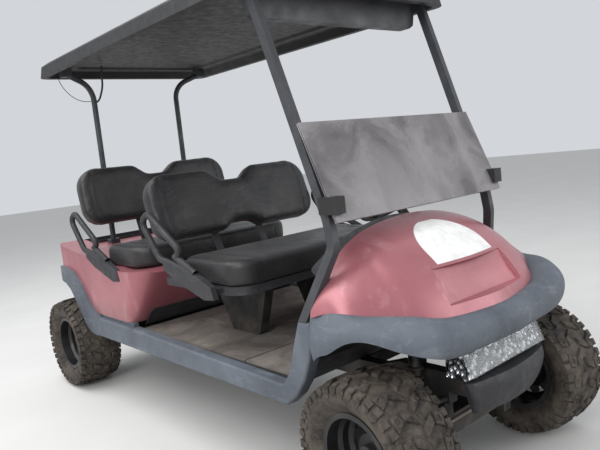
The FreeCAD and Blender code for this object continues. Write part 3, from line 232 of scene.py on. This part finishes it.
def smoked_glass():
    """Tinted acrylic under a film of dust, wiped in places."""
    g = Graph("acrylic_smoke", srgb(104, 100, 102), 0.3, specular=0.5)
    film = g.noise(4.5, 6, 0.62, 0.6, g.scaled(1.0, 1.0, 0.7))
    g.colour(g.mix(g.ramp(film, 0.35, 0.7), srgb(96, 92, 95), srgb(150, 146, 147)))
    g.rough(g.ramp(film, 0.35, 0.7, 0.16, 0.42))
    g.feed(g.shader.inputs["Alpha"], g.ramp(g.noise(7, 6, 0.65, 0.4), 0.3, 0.72, 0.72, 0.9))
    return g.material


def clear_lens():
    g = Graph("lens_clear", srgb(225, 228, 230), 0.1, specular=0.5, alpha=0.16)
    g.rough(g.ramp(g.noise(60, 4, 0.6), 0.4, 0.7, 0.05, 0.2))
    g.bump(g.noise(320, 2, 0.5), 0.08, 0.0006)
    return g.material


def chrome():
    """Rows of small bright reflectors with dark rims."""
    g = Graph("reflector_chrome", srgb(204, 206, 208), 0.2, metal=0.75)
    cup = g.cells(46)
    rim = g.ramp(cup, 0.42, 0.56)
    g.colour(g.mix(rim, srgb(206, 209, 213), srgb(70, 72, 76)))
    g.rough(g.ramp(g.noise(90, 4, 0.6), 0.35, 0.7, 0.16, 0.34))
    g.bump(cup, 0.9, 0.02)
    return g.material


def dull_steel():
    g = Graph("steel_dull", srgb(120, 116, 112), 0.48, metal=0.85)
    rust = g.ramp(g.noise(26, 7, 0.7, 0.6), 0.52, 0.74, 0.0, 0.7)
    g.colour(g.mix(rust, srgb(126, 122, 118), srgb(88, 66, 52)))
    g.rough(g.ramp(g.noise(40, 6, 0.7), 0.3, 0.7, 0.4, 0.72))
    g.bump(g.noise(150, 5, 0.65), 0.2, 0.001)
    return g.material


def white_label():
    g = Graph("vinyl_white", srgb(226, 226, 224), 0.4, specular=0.4)
    g.colour(g.mix(g.ramp(g.noise(22, 6, 0.7), 0.45, 0.75), srgb(230, 230, 228), srgb(205, 203, 200)))
    g.bump(g.noise(30, 3, 0.5), 0.05, 0.001)
    return g.material


def red_lens():
    g = Graph("lens_red", srgb(150, 18, 20), 0.2, specular=0.6)
    g.colour(g.mix(g.ramp(g.noise(30, 5, 0.6), 0.4, 0.7), srgb(158, 20, 22), srgb(120, 14, 18)))
    g.bump(g.cells(260), 0.3, 0.001)
    return g.material


MATERIALS = {
    "tyre": tyre_rubber(),
    "wheel_black": satin_paint("paint_wheel", srgb(24, 24, 26), srgb(72, 68, 64), 0.36, 0.35),
    "chassis_black": satin_paint("paint_chassis", srgb(32, 31, 31), srgb(92, 84, 76), 0.55, 0.7),
    "bare_steel": dull_steel(),
    "body_pink": faded_paint(),
    "trim_grey": weathered_plastic("plastic_weathered", srgb(72, 77, 85), srgb(98, 104, 112),
                                   srgb(132, 138, 146)),
    "dash_black": weathered_plastic("plastic_black", srgb(38, 38, 40), srgb(52, 52, 55),
                                    srgb(86, 86, 88), 0.55),
    "roof_charcoal": weathered_plastic("plastic_roof", srgb(26, 26, 28), srgb(34, 34, 36),
                                       srgb(52, 52, 55), 0.5),
    "strut_grey": satin_paint("paint_strut", srgb(48, 49, 53), srgb(82, 82, 85), 0.42, 0.5),
    "seat_vinyl": seat_vinyl(),
    "floor_rubber": floor_rubber(),
    "smoke_glass": smoked_glass(),
    "lamp_lens": clear_lens(),
    "lamp_chrome": chrome(),
    "lamp_red": red_lens(),
    "cord_black": satin_paint("rubber_cord", srgb(26, 26, 27), srgb(70, 68, 66), 0.55, 0.3),
    "battery_grey": weathered_plastic("plastic_battery", srgb(60, 60, 63), srgb(74, 74, 77),
                                      srgb(100, 98, 96), 0.6),
    "label_white": white_label(),
}
for part in frame["record"]["subparts"]:
    data = nodes[part["node"]].data
    data.materials.clear()
    data.materials.append(MATERIALS[part["material_slot"]])


# Mesh helpers

def piece(name, mesh, body, slot, angle=35.0):
    """An object for the mesh, finished in the slot's material and riding on a body."""
    made = bpy.data.objects.new(name, mesh)
    scene.collection.objects.link(made)
    mesh.materials.clear()
    mesh.materials.append(MATERIALS[slot])
    mesh.shade_smooth()
    mesh.set_sharp_from_angle(angle=math.radians(angle))
    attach(made, body)
    return made


def mesh_from(name, vertices, faces):
    mesh = bpy.data.meshes.new(name)
    mesh.from_pydata([tuple(v) for v in vertices], [], faces)
    mesh.update()
    return mesh


def facing_out(mesh):
    """The closed mesh with all its faces turned outwards."""
    work = bmesh.new()
    work.from_mesh(mesh)
    bmesh.ops.recalc_face_normals(work, faces=work.faces)
    work.to_mesh(mesh)
    work.free()
    return mesh


def swept(points, radius, sides=10, closed=False):
    """Round tube along points, as vertices and faces."""
    points = [Vector(p) for p in points]
    count = len(points)
    vertices, faces = [], []
    up = None
    for i, p in enumerate(points):
        before = points[i - 1] if i or closed else p
        after = points[(i + 1) % count] if i < count - 1 or closed else p
        along = (after - before).normalized()
        if up is None:
            up = along.orthogonal().normalized()
        up = (up - along * up.dot(along)).normalized()
        across = along.cross(up)
        for k in range(sides):
            a = 2 * math.pi * k / sides
            vertices.append(p + (up * math.cos(a) + across * math.sin(a)) * radius)
    rings = count if closed else count - 1
    for i in range(rings):
        for k in range(sides):
            a, b = i * sides + k, i * sides + (k + 1) % sides
            c, d = ((i + 1) % count) * sides + (k + 1) % sides, ((i + 1) % count) * sides + k
            faces.append([a, b, c, d])
    if not closed:
        faces.append(list(range(sides))[::-1])
        faces.append([(count - 1) * sides + k for k in range(sides)])
    return vertices, faces


# Tyres

TYRE_R = 0.281
PITCHES = 20


def crown(x):
    """Height of the tread's top at x across it."""
    return TYRE_R - 0.017 * (abs(x) / 0.13) ** 3.2


def lug_block(points, depth, pit):
    """One tread block from its outline (x, angle in pitches), as rings from its foot to its top."""
    step = 2 * math.pi / PITCHES
    centre_x = sum(p[0] for p in points) / len(points)
    centre_t = sum(p[1] for p in points) / len(points)
    # Rings from the foot up, and down into the pit: columns are growth and drop under the crown.
    levels = [(1.12, depth), (1.0, 0.0016), (0.9, 0.0)]
    if pit:
        levels += [(0.42, 0.0), (0.32, 0.004)]
    rings = []
    for grow, drop in levels:
        ring = []
        for x, t in points:
            gx = centre_x + (x - centre_x) * grow
            a = (centre_t + (t - centre_t) * grow) * step
            r = crown(x) - drop
            ring.append(Vector((gx, r * math.cos(a), r * math.sin(a))))
        rings.append(ring)
    return rings


# Tread blocks on the right half of one pitch: columns are x and place along the tread.
CENTRE_BLOCK = [(0.004, 0.02), (0.030, 0.20), (0.052, 0.36), (0.052, 0.72), (0.030, 0.56), (0.004, 0.38)]
MIDDLE_BLOCK = [(0.058, 0.30), (0.092, 0.06), (0.100, 0.62), (0.070, 0.74)]
SHOULDER_BLOCK = [(0.098, -0.06), (0.1285, -0.10), (0.1285, 0.28), (0.103, 0.30)]
SHOULDER_SMALL = [(0.105, 0.42), (0.1285, 0.40), (0.1285, 0.74), (0.106, 0.72)]


def tyre_mesh(name):
    vertices, faces = [], []

    def add_rings(rings):
        count = len(rings[0])
        base = len(vertices)
        for ring in rings:
            vertices.extend(ring)
        for i in range(len(rings) - 1):
            for k in range(count):
                a, b = base + i * count + k, base + i * count + (k + 1) % count
                faces.append([a, b, b + count, a + count])
        faces.append([base + (len(rings) - 1) * count + k for k in range(count)])

    # Carcass section from the outer bead over the tread to the inner bead: columns are x and radius.
    half = [(0.088, 0.1535), (0.093, 0.160), (0.096, 0.172), (0.108, 0.184), (0.121, 0.200), (0.1265, 0.218),
            (0.1265, 0.236), (0.1215, 0.2520), (0.110, 0.2615), (0.090, 0.2660), (0.060, 0.2688),
            (0.030, 0.2698)]
    section = half + [(-x, r) for x, r in reversed(half)]
    inside = [(-0.080, 0.160), (-0.100, 0.200), (-0.104, 0.235), (-0.080, 0.256), (0.080, 0.256),
              (0.104, 0.235), (0.100, 0.200), (0.080, 0.160)]
    section += inside
    turns = 96
    for i in range(turns):
        a = 2 * math.pi * i / turns
        for x, r in section:
            vertices.append(Vector((x, r * math.cos(a), r * math.sin(a))))
    n = len(section)
    for i in range(turns):
        for k in range(n):
            a, b = i * n + k, i * n + (k + 1) % n
            c, d = ((i + 1) % turns) * n + (k + 1) % n, ((i + 1) % turns) * n + k
            faces.append([a, d, c, b])
    for pitch in range(PITCHES):
        for side, shift in ((1, 0.0), (-1, 0.5)):
            for outline, depth, pit in ((CENTRE_BLOCK, 0.0115, False), (MIDDLE_BLOCK, 0.0125, True),
                                        (SHOULDER_BLOCK, 0.019, False), (SHOULDER_SMALL, 0.017, False)):
                points = [(side * x, t + pitch + shift) for x, t in outline]
                if side < 0:
                    points.reverse()
                add_rings(lug_block(points, depth, pit))
            # Lugs that run down the sidewall, alternately long and short.
            for start, end, low in ((-0.08, 0.26, 0.226), (0.42, 0.72, 0.240)):
                rings = []
                for grow, lift in ((1.15, -0.004), (1.0, 0.0045), (0.8, 0.0055)):
                    ring = []
                    middle = (start + end) / 2
                    for r, t in ((0.2655, start), (0.2655, end), (low, middle + 0.10), (low, middle - 0.10)):
                        gt = (middle + (t - middle) * grow + pitch + shift) * 2 * math.pi / PITCHES
                        x = side * min(0.1302, 0.1255 + lift)
                        ring.append(Vector((x, r * math.cos(gt), r * math.sin(gt))))
                    rings.append(ring)
                add_rings(rings)
    return facing_out(mesh_from(name, vertices, faces))


WHEEL_PLACES = {}
for joint in frame["joints"]:
    if joint["name"].startswith("roll_"):
        WHEEL_PLACES[joint["name"][5:]] = (Vector(joint["pos_m"]), Vector(joint["axis"]))
master = tyre_mesh("tyre_master")
for place, (centre, axis) in WHEEL_PLACES.items():
    mesh = master.copy()
    facing = 0.0 if "left" in place else math.pi
    yaw = math.atan2(axis.y, axis.x)
    mesh.transform(Matrix.Translation(centre) @ Matrix.Rotation(yaw + facing, 4, "Z"))
    tyre = piece("tread_" + place, mesh, "wheel_" + place, "tyre", 30)
    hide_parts("tyre_" + place)
bpy.data.meshes.remove(master)


# Seats

def evaluated_mesh(made):
    """The object's mesh with its modifiers worked in, as a new mesh."""
    bpy.context.view_layer.update()
    graph = bpy.context.evaluated_depsgraph_get()
    return bpy.data.meshes.new_from_object(made.evaluated_get(graph))


def work_in(made, modifier):
    """Apply one modifier without an operator."""
    result = evaluated_mesh(made)
    made.modifiers.remove(modifier)
    old = made.data
    made.data = result
    bpy.data.meshes.remove(old)


def part_of(node, keep):
    """A copy of a node's mesh with only the vertices for which keep is true."""
    mesh = nodes[node].data.copy()
    work = bmesh.new()
    work.from_mesh(mesh)
    bmesh.ops.delete(work, geom=[v for v in work.verts if not keep(v.co)], context="VERTS")
    work.to_mesh(mesh)
    work.free()
    return mesh


VOXEL = 0.0095
CLOTH_FRAMES = 16


def puffed(name, mesh, rounding, shrink, cap, pressure):
    """A CAD pad remeshed, rounded and swollen by cloth pressure, its movement capped."""
    made = bpy.data.objects.new(name, mesh)
    scene.collection.objects.link(made)
    remesh = made.modifiers.new("remesh", "REMESH")
    remesh.mode = "VOXEL"
    remesh.voxel_size = VOXEL
    work_in(made, remesh)
    smooth = made.modifiers.new("smooth", "SMOOTH")
    smooth.iterations = rounding
    work_in(made, smooth)
    mesh = made.data
    count = len(mesh.vertices)
    start = np.empty(count * 3)
    normals = np.empty(count * 3)
    mesh.vertices.foreach_get("co", start)
    mesh.vertices.foreach_get("normal", normals)
    start -= normals * shrink
    mesh.vertices.foreach_set("co", start)
    mesh.update()
    cloth = made.modifiers.new("cloth", "CLOTH")
    settings = cloth.settings
    settings.quality = 4
    settings.mass = 0.3
    settings.tension_stiffness = 14
    settings.compression_stiffness = 14
    settings.shear_stiffness = 6
    settings.bending_stiffness = 0.8
    settings.use_pressure = True
    settings.uniform_pressure_force = pressure
    settings.effector_weights.gravity = 0
    cloth.collision_settings.use_collision = False
    cloth.point_cache.frame_start = 1
    cloth.point_cache.frame_end = CLOTH_FRAMES
    for step in range(1, CLOTH_FRAMES + 1):
        scene.frame_set(step)
    work_in(made, cloth)
    scene.frame_set(1)
    moved = np.empty(count * 3)
    made.data.vertices.foreach_get("co", moved)
    move = (moved - start).reshape(-1, 3)
    length = np.linalg.norm(move, axis=1, keepdims=True)
    move *= np.minimum(1.0, cap / np.maximum(length, 1e-9))
    made.data.vertices.foreach_set("co", (start.reshape(-1, 3) + move).ravel())
    settle = made.modifiers.new("settle", "SMOOTH")
    settle.iterations = 2
    work_in(made, settle)
    return made


def on_surface(tree, starts, direction):
    """Where rays from the starts meet the surface, and the normals there."""
    found = []
    for start in starts:
        place, normal, index, distance = tree.ray_cast(Vector(start), Vector(direction))
        if place is not None:
            found.append((place, normal if normal.dot(Vector(direction)) < 0 else -normal))
    return found


def bezier(points, count):
    """Smooth run of points through a Catmull-Rom chain of the given ones."""
    points = [Vector(p) for p in points]
    chain = [points[0] * 2 - points[1]] + points + [points[-1] * 2 - points[-2]]
    out = []
    for i in range(1, len(chain) - 2):
        a, b, c, d = chain[i - 1], chain[i], chain[i + 1], chain[i + 2]
        for k in range(count):
            t = k / count
            out.append(0.5 * ((2 * b) + (c - a) * t + (2 * a - 5 * b + 4 * c - d) * t * t
                              + (3 * b - a - 3 * c + d) * t * t * t))
    out.append(points[-1])
    return out


def pressed(made, lines, depth, width):
    """Sink a pad's surface along its seams."""
    mesh = made.data
    count = len(mesh.vertices)
    places = np.empty(count * 3)
    normals = np.empty(count * 3)
    mesh.vertices.foreach_get("co", places)
    mesh.vertices.foreach_get("normal", normals)
    places, normals = places.reshape(-1, 3), normals.reshape(-1, 3)
    nearest = np.full(count, 1.0)
    for line in lines:
        for p in line:
            nearest = np.minimum(nearest, np.linalg.norm(places - np.array(p), axis=1))
    places -= normals * (depth * np.exp(-(nearest / width) ** 2))[:, None]
    mesh.vertices.foreach_set("co", places.ravel())
    mesh.update()


def welted(made, name, body, routes, thick=0.0016):
    """Seams along the routes: each is a list of start points and the way they're cast onto the pad."""
    tree = BVHTree.FromObject(made, bpy.context.evaluated_depsgraph_get())
    lines = []
    for starts, direction in routes:
        hits = on_surface(tree, bezier(starts, 14), direction)
        lines.append([place for place, normal in hits])
    pressed(made, lines, 0.0035, 0.009)
    tree = BVHTree.FromObject(made, bpy.context.evaluated_depsgraph_get())
    vertices, faces = [], []
    for starts, direction in routes:
        hits = on_surface(tree, bezier(starts, 14), direction)
        line = [place + normal * thick * 0.3 for place, normal in hits]
        if len(line) > 2:
            more, loops = swept(line, thick, 8)
            faces += [[len(vertices) + i for i in loop] for loop in loops]
            vertices += more
    piece(name, mesh_from(name, vertices, faces), body, "seat_vinyl")


def finish_soft(made, body, node):
    made.data.materials.clear()
    made.data.materials.append(MATERIALS["seat_vinyl"])
    made.data.shade_smooth()
    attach(made, body)
    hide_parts(node)


# Cushions: columns are node, body, front edge y, rear edge y and top z.
CUSHIONS = [
    ("front_seat_cushion", "chassis", -0.600, -0.120, 0.902),
    ("rear_seat_cushion", "rear_seat_lid", 0.300, 0.740, 0.924),
]
DOWN = Vector((0, 0, -1))
BACKWARD = Vector((0, 1, 0))
for node, body, front, rear, top in CUSHIONS:
    pad = puffed("pad_" + node, part_of(node, lambda co: True), 14, 0.002, 0.006, 4.0)
    middle, above, ahead = (front + rear) / 2, top + 0.1, front - 0.1
    routes = []
    for side in (1, -1):
        routes.append(([(side * 0.405, front + 0.035, above), (side * 0.415, middle, above),
                        (side * 0.405, rear - 0.03, above)], DOWN))
        routes.append(([(side * 0.405, ahead, top - 0.03), (side * 0.402, ahead, top - 0.09)], BACKWARD))
    routes.append(([(x, ahead, top - 0.088) for x in (-0.40, 0, 0.40)], BACKWARD))
    welted(pad, "seams_" + node, body, routes)
    finish_soft(pad, body, node)

# Seat backs: columns are name, which part of the node, foot y, foot z and tilt in degrees.
BACKS = [
    ("front_back", lambda co: co.y < 0.5, 0.030, 0.968, 18),
    ("rear_back", lambda co: co.y > 0.5, 0.915, 1.035, 12),
]
for name, chosen, foot_y, foot_z, tilt in BACKS:
    pad = puffed("pad_" + name, part_of("seat_backs", chosen), 16, 0.002, 0.007, 4.0)
    tilt = math.radians(tilt)
    rise = Vector((0, math.sin(tilt), math.cos(tilt)))
    inward = Vector((0, math.cos(tilt), -math.sin(tilt)))
    foot = Vector((0, foot_y, foot_z))
    routes = []
    for side in (1, -1):
        for along, offset in ((inward, -0.1), (-inward, 0.2)):
            line = []
            for x, height in ((0.432, 0.018), (0.448, 0.12), (0.450, 0.22), (0.436, 0.335)):
                line.append(foot + Vector((side * x, 0, 0)) + rise * height + inward * offset)
            routes.append((line, along))
    welted(pad, "seams_" + name, "chassis", routes)
    finish_soft(pad, "chassis", "seat_backs")


# Cowl and dash

# Cowl stations from its side to its middle, in millimetres: columns are seam, middle and top.
COWL = [
    ((588, -1101, 752), (572, -1098, 801), (548, -1093, 847)),
    ((574, -1168, 772), (546, -1128, 830), (506, -1089, 881)),
    ((560, -1250, 778), (520, -1167, 849), (462, -1086, 909)),
    ((505, -1306, 762), (483, -1197, 864), (414, -1084, 939)),
    ((445, -1345, 745), (440, -1222, 878), (368, -1083, 967)),
    ((392, -1385, 733), (394, -1248, 888), (322, -1082, 988)),
    ((333, -1422, 721), (338, -1276, 903), (268, -1081, 1006)),
    ((210, -1455, 712), (216, -1301, 914), (160, -1080, 1026)),
    ((0, -1482, 709), (0, -1317, 919), (0, -1080, 1036)),
]
# Stations of the cowl's middle, behind the step.
CORE_FROM = 5


def through(rows, share):
    """Smooth curve through rows of numbers, at a share of the row count."""
    index = min(int(share), len(rows) - 2)
    t = share - index
    p0, p1 = rows[max(index - 1, 0)], rows[index]
    p2, p3 = rows[index + 1], rows[min(index + 2, len(rows) - 1)]
    return [b + 0.5 * t * (c - a + t * (2 * a - 5 * b + 4 * c - d + t * (3 * (b - c) + d - a)))
            for a, b, c, d in zip(p0, p1, p2, p3)]


def arc_points(a, b, c, inset, count):
    """Points of the arc through a, b and c, moved towards its centre."""
    u, v = b - a, c - a
    n = u.cross(v)
    centre = a + (n.cross(u) * v.dot(v) + v.cross(n) * u.dot(u)) * (0.5 / n.dot(n))
    n.normalize()
    first = a - centre
    end = c - centre
    turn = math.atan2(n.dot(first.cross(end)), first.dot(end)) % (2 * math.pi)
    found = []
    for k in range(count):
        spoke = Quaternion(n, turn * k / (count - 1)) @ first
        found.append(centre + spoke * (1 - inset / spoke.length))
    return found


def cowl_shell(name, stations, inset, wall, steps=6, rings=36):
    """Closed shell of the cowl through the stations and their mirror."""
    rows = [[v * 0.001 for point in row for v in point] for row in stations]
    full = [[-v if i % 3 == 0 else v for i, v in enumerate(row)] for row in rows] + rows[-2::-1]
    count = (len(full) - 1) * steps + 1
    vertices, faces = [], []
    for i in range(count):
        row = through(full, i / steps)
        a, b, c = Vector(row[:3]), Vector(row[3:6]), Vector(row[6:])
        ring = arc_points(a, b, c, inset, rings) + arc_points(a, b, c, inset + wall, rings)[::-1]
        vertices += ring
    size = 2 * rings
    for i in range(count - 1):
        for k in range(size):
            m = (k + 1) % size
            faces.append((i * size + k, i * size + m, (i + 1) * size + m, (i + 1) * size + k))
    faces.append(tuple(range(size))[::-1])
    faces.append(tuple(range((count - 1) * size, count * size)))
    return mesh_from(name, vertices, faces)


def prism(name, profile, low, high, spread=0.0):
    """Solid between two x places with a side view of y and z; spread widens its front."""
    back = max(y for y, z in profile)
    vertices = [(low + spread * (y - back), y, z) for y, z in profile]
    vertices += [(high - spread * (y - back), y, z) for y, z in profile]
    n = len(profile)
    faces = [tuple(range(n)), tuple(range(2 * n - 1, n - 1, -1))]
    faces += [(k, k + n, (k + 1) % n + n, (k + 1) % n) for k in range(n)]
    return facing_out(mesh_from(name, vertices, faces))


def cut(mesh, cutter):
    """The mesh less the cutter."""
    body = bpy.data.objects.new("cut_body", mesh)
    tool = bpy.data.objects.new("cut_tool", cutter)
    scene.collection.objects.link(body)
    scene.collection.objects.link(tool)
    step = body.modifiers.new("step", "BOOLEAN")
    step.object = tool
    step.operation = "DIFFERENCE"
    step.solver = "EXACT"
    result = evaluated_mesh(body)
    bpy.data.objects.remove(body)
    bpy.data.objects.remove(tool)
    return result


STEP_SIDE = [(-1.350, 0.866), (-1.392, 0.788), (-1.420, 0.748), (-1.600, 0.738), (-1.600, 0.866)]
STEP_HALF = 0.216
step_space = prism("step_space", STEP_SIDE, -STEP_HALF, STEP_HALF, 0.2)
cowl_mesh = cut(cowl_shell("cowl_shell", COWL, 0.0, 0.004), step_space)
core_mesh = cut(cowl_shell("cowl_core", COWL[CORE_FROM:], 0.003, 0.07), step_space.copy())
cowl = piece("cowl_skin", cowl_mesh, "chassis", "body_pink", 32)
core = piece("cowl_step", core_mesh, "chassis", "body_pink", 32)
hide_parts("front_cowl")
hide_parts("front_cowl")

DASH_HALF = 0.455
# Heights of the dash's arched top at its sides and in its middle
DASH_SIDE_TOP, DASH_TOP = 0.900, 1.030
DASH_RADIUS = (DASH_HALF ** 2 + (DASH_TOP - DASH_SIDE_TOP) ** 2) / (2 * (DASH_TOP - DASH_SIDE_TOP))
DASH_COLUMNS = 41


def dash_section(x):
    """Side view of the dash at x: columns are y and z."""
    z = DASH_TOP - DASH_RADIUS + math.sqrt(DASH_RADIUS ** 2 - x ** 2)
    return [(-1.1496, 0.800), (-1.074, 0.890), (-1.074, z - 0.008), (-1.066, z), (-0.998, z),
            (-0.986, z - 0.004), (-0.981, z - 0.016), (-0.985, 0.880), (-1.000, 0.868), (-1.100, 0.790),
            (-1.1454, 0.790)]


vertices, faces = [], []
for i in range(DASH_COLUMNS):
    x = DASH_HALF * (2 * i / (DASH_COLUMNS - 1) - 1)
    vertices += [(x, y, z) for y, z in dash_section(x)]
row = len(dash_section(0))
for i in range(DASH_COLUMNS - 1):
    faces += [(i * row + k, i * row + (k + 1) % row, (i + 1) * row + (k + 1) % row, (i + 1) * row + k)
              for k in range(row)]
faces.append(tuple(range(row))[::-1])
faces.append(tuple(range((DASH_COLUMNS - 1) * row, DASH_COLUMNS * row)))
dash_mesh = mesh_from("dash_mesh", vertices, faces)
# Open pockets either side of the column
POCKET_SIDE = [(-0.940, 0.952), (-1.050, 0.952), (-1.050, 0.896), (-0.940, 0.896)]
for low, high in ((-0.330, -0.060), (-0.020, 0.170)):
    dash_mesh = cut(dash_mesh, prism("pocket", POCKET_SIDE, low, high))
dash = piece("dash_cover", dash_mesh, "chassis", "dash_black", 32)
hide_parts("dash_panel")

# Blank label laid on the cowl, with a round top.
LABEL_HALF, LABEL_FOOT, LABEL_TOP = 0.176, 0.876, 1.006
cowl_tree = BVHTree.FromPolygons([v.co for v in cowl_mesh.vertices],
                                 [p.vertices for p in cowl_mesh.polygons])
# Share of the label's height where its sides start to turn in, and over which they do
LABEL_TURN, LABEL_ROUND = 0.32, 0.70
LABEL_LIFT = 0.0006
LABEL_ROWS, LABEL_COLUMNS = 25, 41
grid = []
for k in range(LABEL_ROWS):
    v = k / (LABEL_ROWS - 1)
    wide = LABEL_HALF * math.sqrt(max(1 - (max(v - LABEL_TURN, 0) / LABEL_ROUND) ** 2, 0.0))
    z = LABEL_FOOT + (LABEL_TOP - LABEL_FOOT) * v
    for i in range(LABEL_COLUMNS):
        x = wide * (2 * i / (LABEL_COLUMNS - 1) - 1)
        place = cowl_tree.ray_cast(Vector((x, -1.7, z)), BACKWARD)[0]
        grid.append(place - BACKWARD * LABEL_LIFT)
faces = [(k * LABEL_COLUMNS + i, k * LABEL_COLUMNS + i + 1, (k + 1) * LABEL_COLUMNS + i + 1,
          (k + 1) * LABEL_COLUMNS + i) for k in range(LABEL_ROWS - 1) for i in range(LABEL_COLUMNS - 1)]
piece("label_blank", mesh_from("label_blank", grid, faces), "chassis", "label_white", 60)


# Cords under the roof: route points in metres

CORDS = {
    "roof_lead": (0.012, [(-0.300, 0.925, 1.986), (-0.303, 0.933, 1.925), (-0.298, 0.952, 1.868),
                          (-0.301, 0.990, 1.818), (-0.297, 1.040, 1.790), (-0.296, 1.098, 1.786)]),
    "lamp_wire": (0.004, [(-0.313, 1.117, 1.800), (-0.345, 1.122, 1.796), (-0.398, 1.130, 1.812),
                          (-0.446, 1.136, 1.852), (-0.480, 1.140, 1.905), (-0.492, 1.142, 1.950),
                          (-0.495, 1.143, 1.988)]),
}


def cord_curve(name, diameter, points):
    curve = bpy.data.curves.new(name, "CURVE")
    curve.dimensions = "3D"
    curve.resolution_u = 16
    spline = curve.splines.new("NURBS")
    spline.points.add(len(points) - 1)
    for target, point in zip(spline.points, points):
        target.co = (*point, 1.0)
    spline.order_u = 3
    spline.use_endpoint_u = True
    made = bpy.data.objects.new(name, curve)
    scene.collection.objects.link(made)
    bpy.context.view_layer.update()
    line = bpy.data.meshes.new_from_object(made.evaluated_get(bpy.context.evaluated_depsgraph_get()))
    places = [v.co for v in line.vertices]
    length = sum((places[e.vertices[0]] - places[e.vertices[1]]).length for e in line.edges)
    bpy.data.meshes.remove(line)
    curve.bevel_depth = diameter / 2
    curve.bevel_resolution = 3
    curve.use_fill_caps = True
    return made, length


for name, (diameter, points) in CORDS.items():
    made, length = cord_curve("cable_" + name, diameter, points)
    made.data.materials.append(MATERIALS["cord_black"])
    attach(made, "chassis")
    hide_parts(name)


# Floor, light and camera

floor_mesh = mesh_from("floor", [(-30, -30, 0), (30, -30, 0), (30, 30, 0), (-30, 30, 0)], [[0, 1, 2, 3]])
floor = bpy.data.objects.new("floor", floor_mesh)
scene.collection.objects.link(floor)
ground = Graph("floor_pale", srgb(205, 204, 202), 0.85, specular=0.2)
ground.colour(ground.mix(ground.ramp(ground.noise(2.0, 3, 0.5), 0.3, 0.7), srgb(203, 202, 200),
                         srgb(207, 206, 204)))
floor_mesh.materials.append(ground.material)

world = bpy.data.worlds.new("studio")
scene.world = world
world.use_nodes = True
world.node_tree.nodes["Background"].inputs[0].default_value = (0.86, 0.89, 0.93, 1)
world.node_tree.nodes["Background"].inputs[1].default_value = 0.75


def softbox(name, place, target, size, power, colour=(1, 1, 1)):
    light = bpy.data.lights.new(name, "AREA")
    light.shape = "RECTANGLE"
    light.size, light.size_y = size
    light.energy = power
    light.color = colour
    made = bpy.data.objects.new(name, light)
    scene.collection.objects.link(made)
    made.location = place
    made.rotation_euler = (Vector(target) - Vector(place)).to_track_quat("-Z", "Y").to_euler()


softbox("sky", (-2.5, 1.5, 6.5), (0, 0, 0.6), (6, 6), 420)
softbox("key", (-5.5, -3.0, 4.2), (0, -0.2, 0.8), (3.5, 3.5), 260)
softbox("fill", (3.5, -5.5, 2.6), (0, -0.8, 0.8), (4, 3), 110)

# Camera solved from the photograph: yaw, pitch and roll in degrees.
camera_data = bpy.data.cameras.new("camera")
camera = bpy.data.objects.new("camera", camera_data)
scene.collection.objects.link(camera)
yaw, pitch, roll = (math.radians(a) for a in (40.297, -6.435, -6.357))
ahead = Vector((math.sin(yaw) * math.cos(pitch), math.cos(yaw) * math.cos(pitch), math.sin(pitch)))
right = Vector((math.cos(yaw), -math.sin(yaw), 0))
up = right.cross(ahead)
right_rolled = math.cos(roll) * right + math.sin(roll) * up
up_rolled = -math.sin(roll) * right + math.cos(roll) * up
turn = Matrix((right_rolled, up_rolled, -ahead)).transposed()
camera.matrix_world = Matrix.Translation((-1.9302, -2.6852, 1.3150)) @ turn.to_4x4()
camera_data.sensor_fit = "HORIZONTAL"
camera_data.sensor_width = 36
camera_data.lens = 36 * 611.11 / 600
scene.camera = camera
scene.view_settings.view_transform = "Standard"
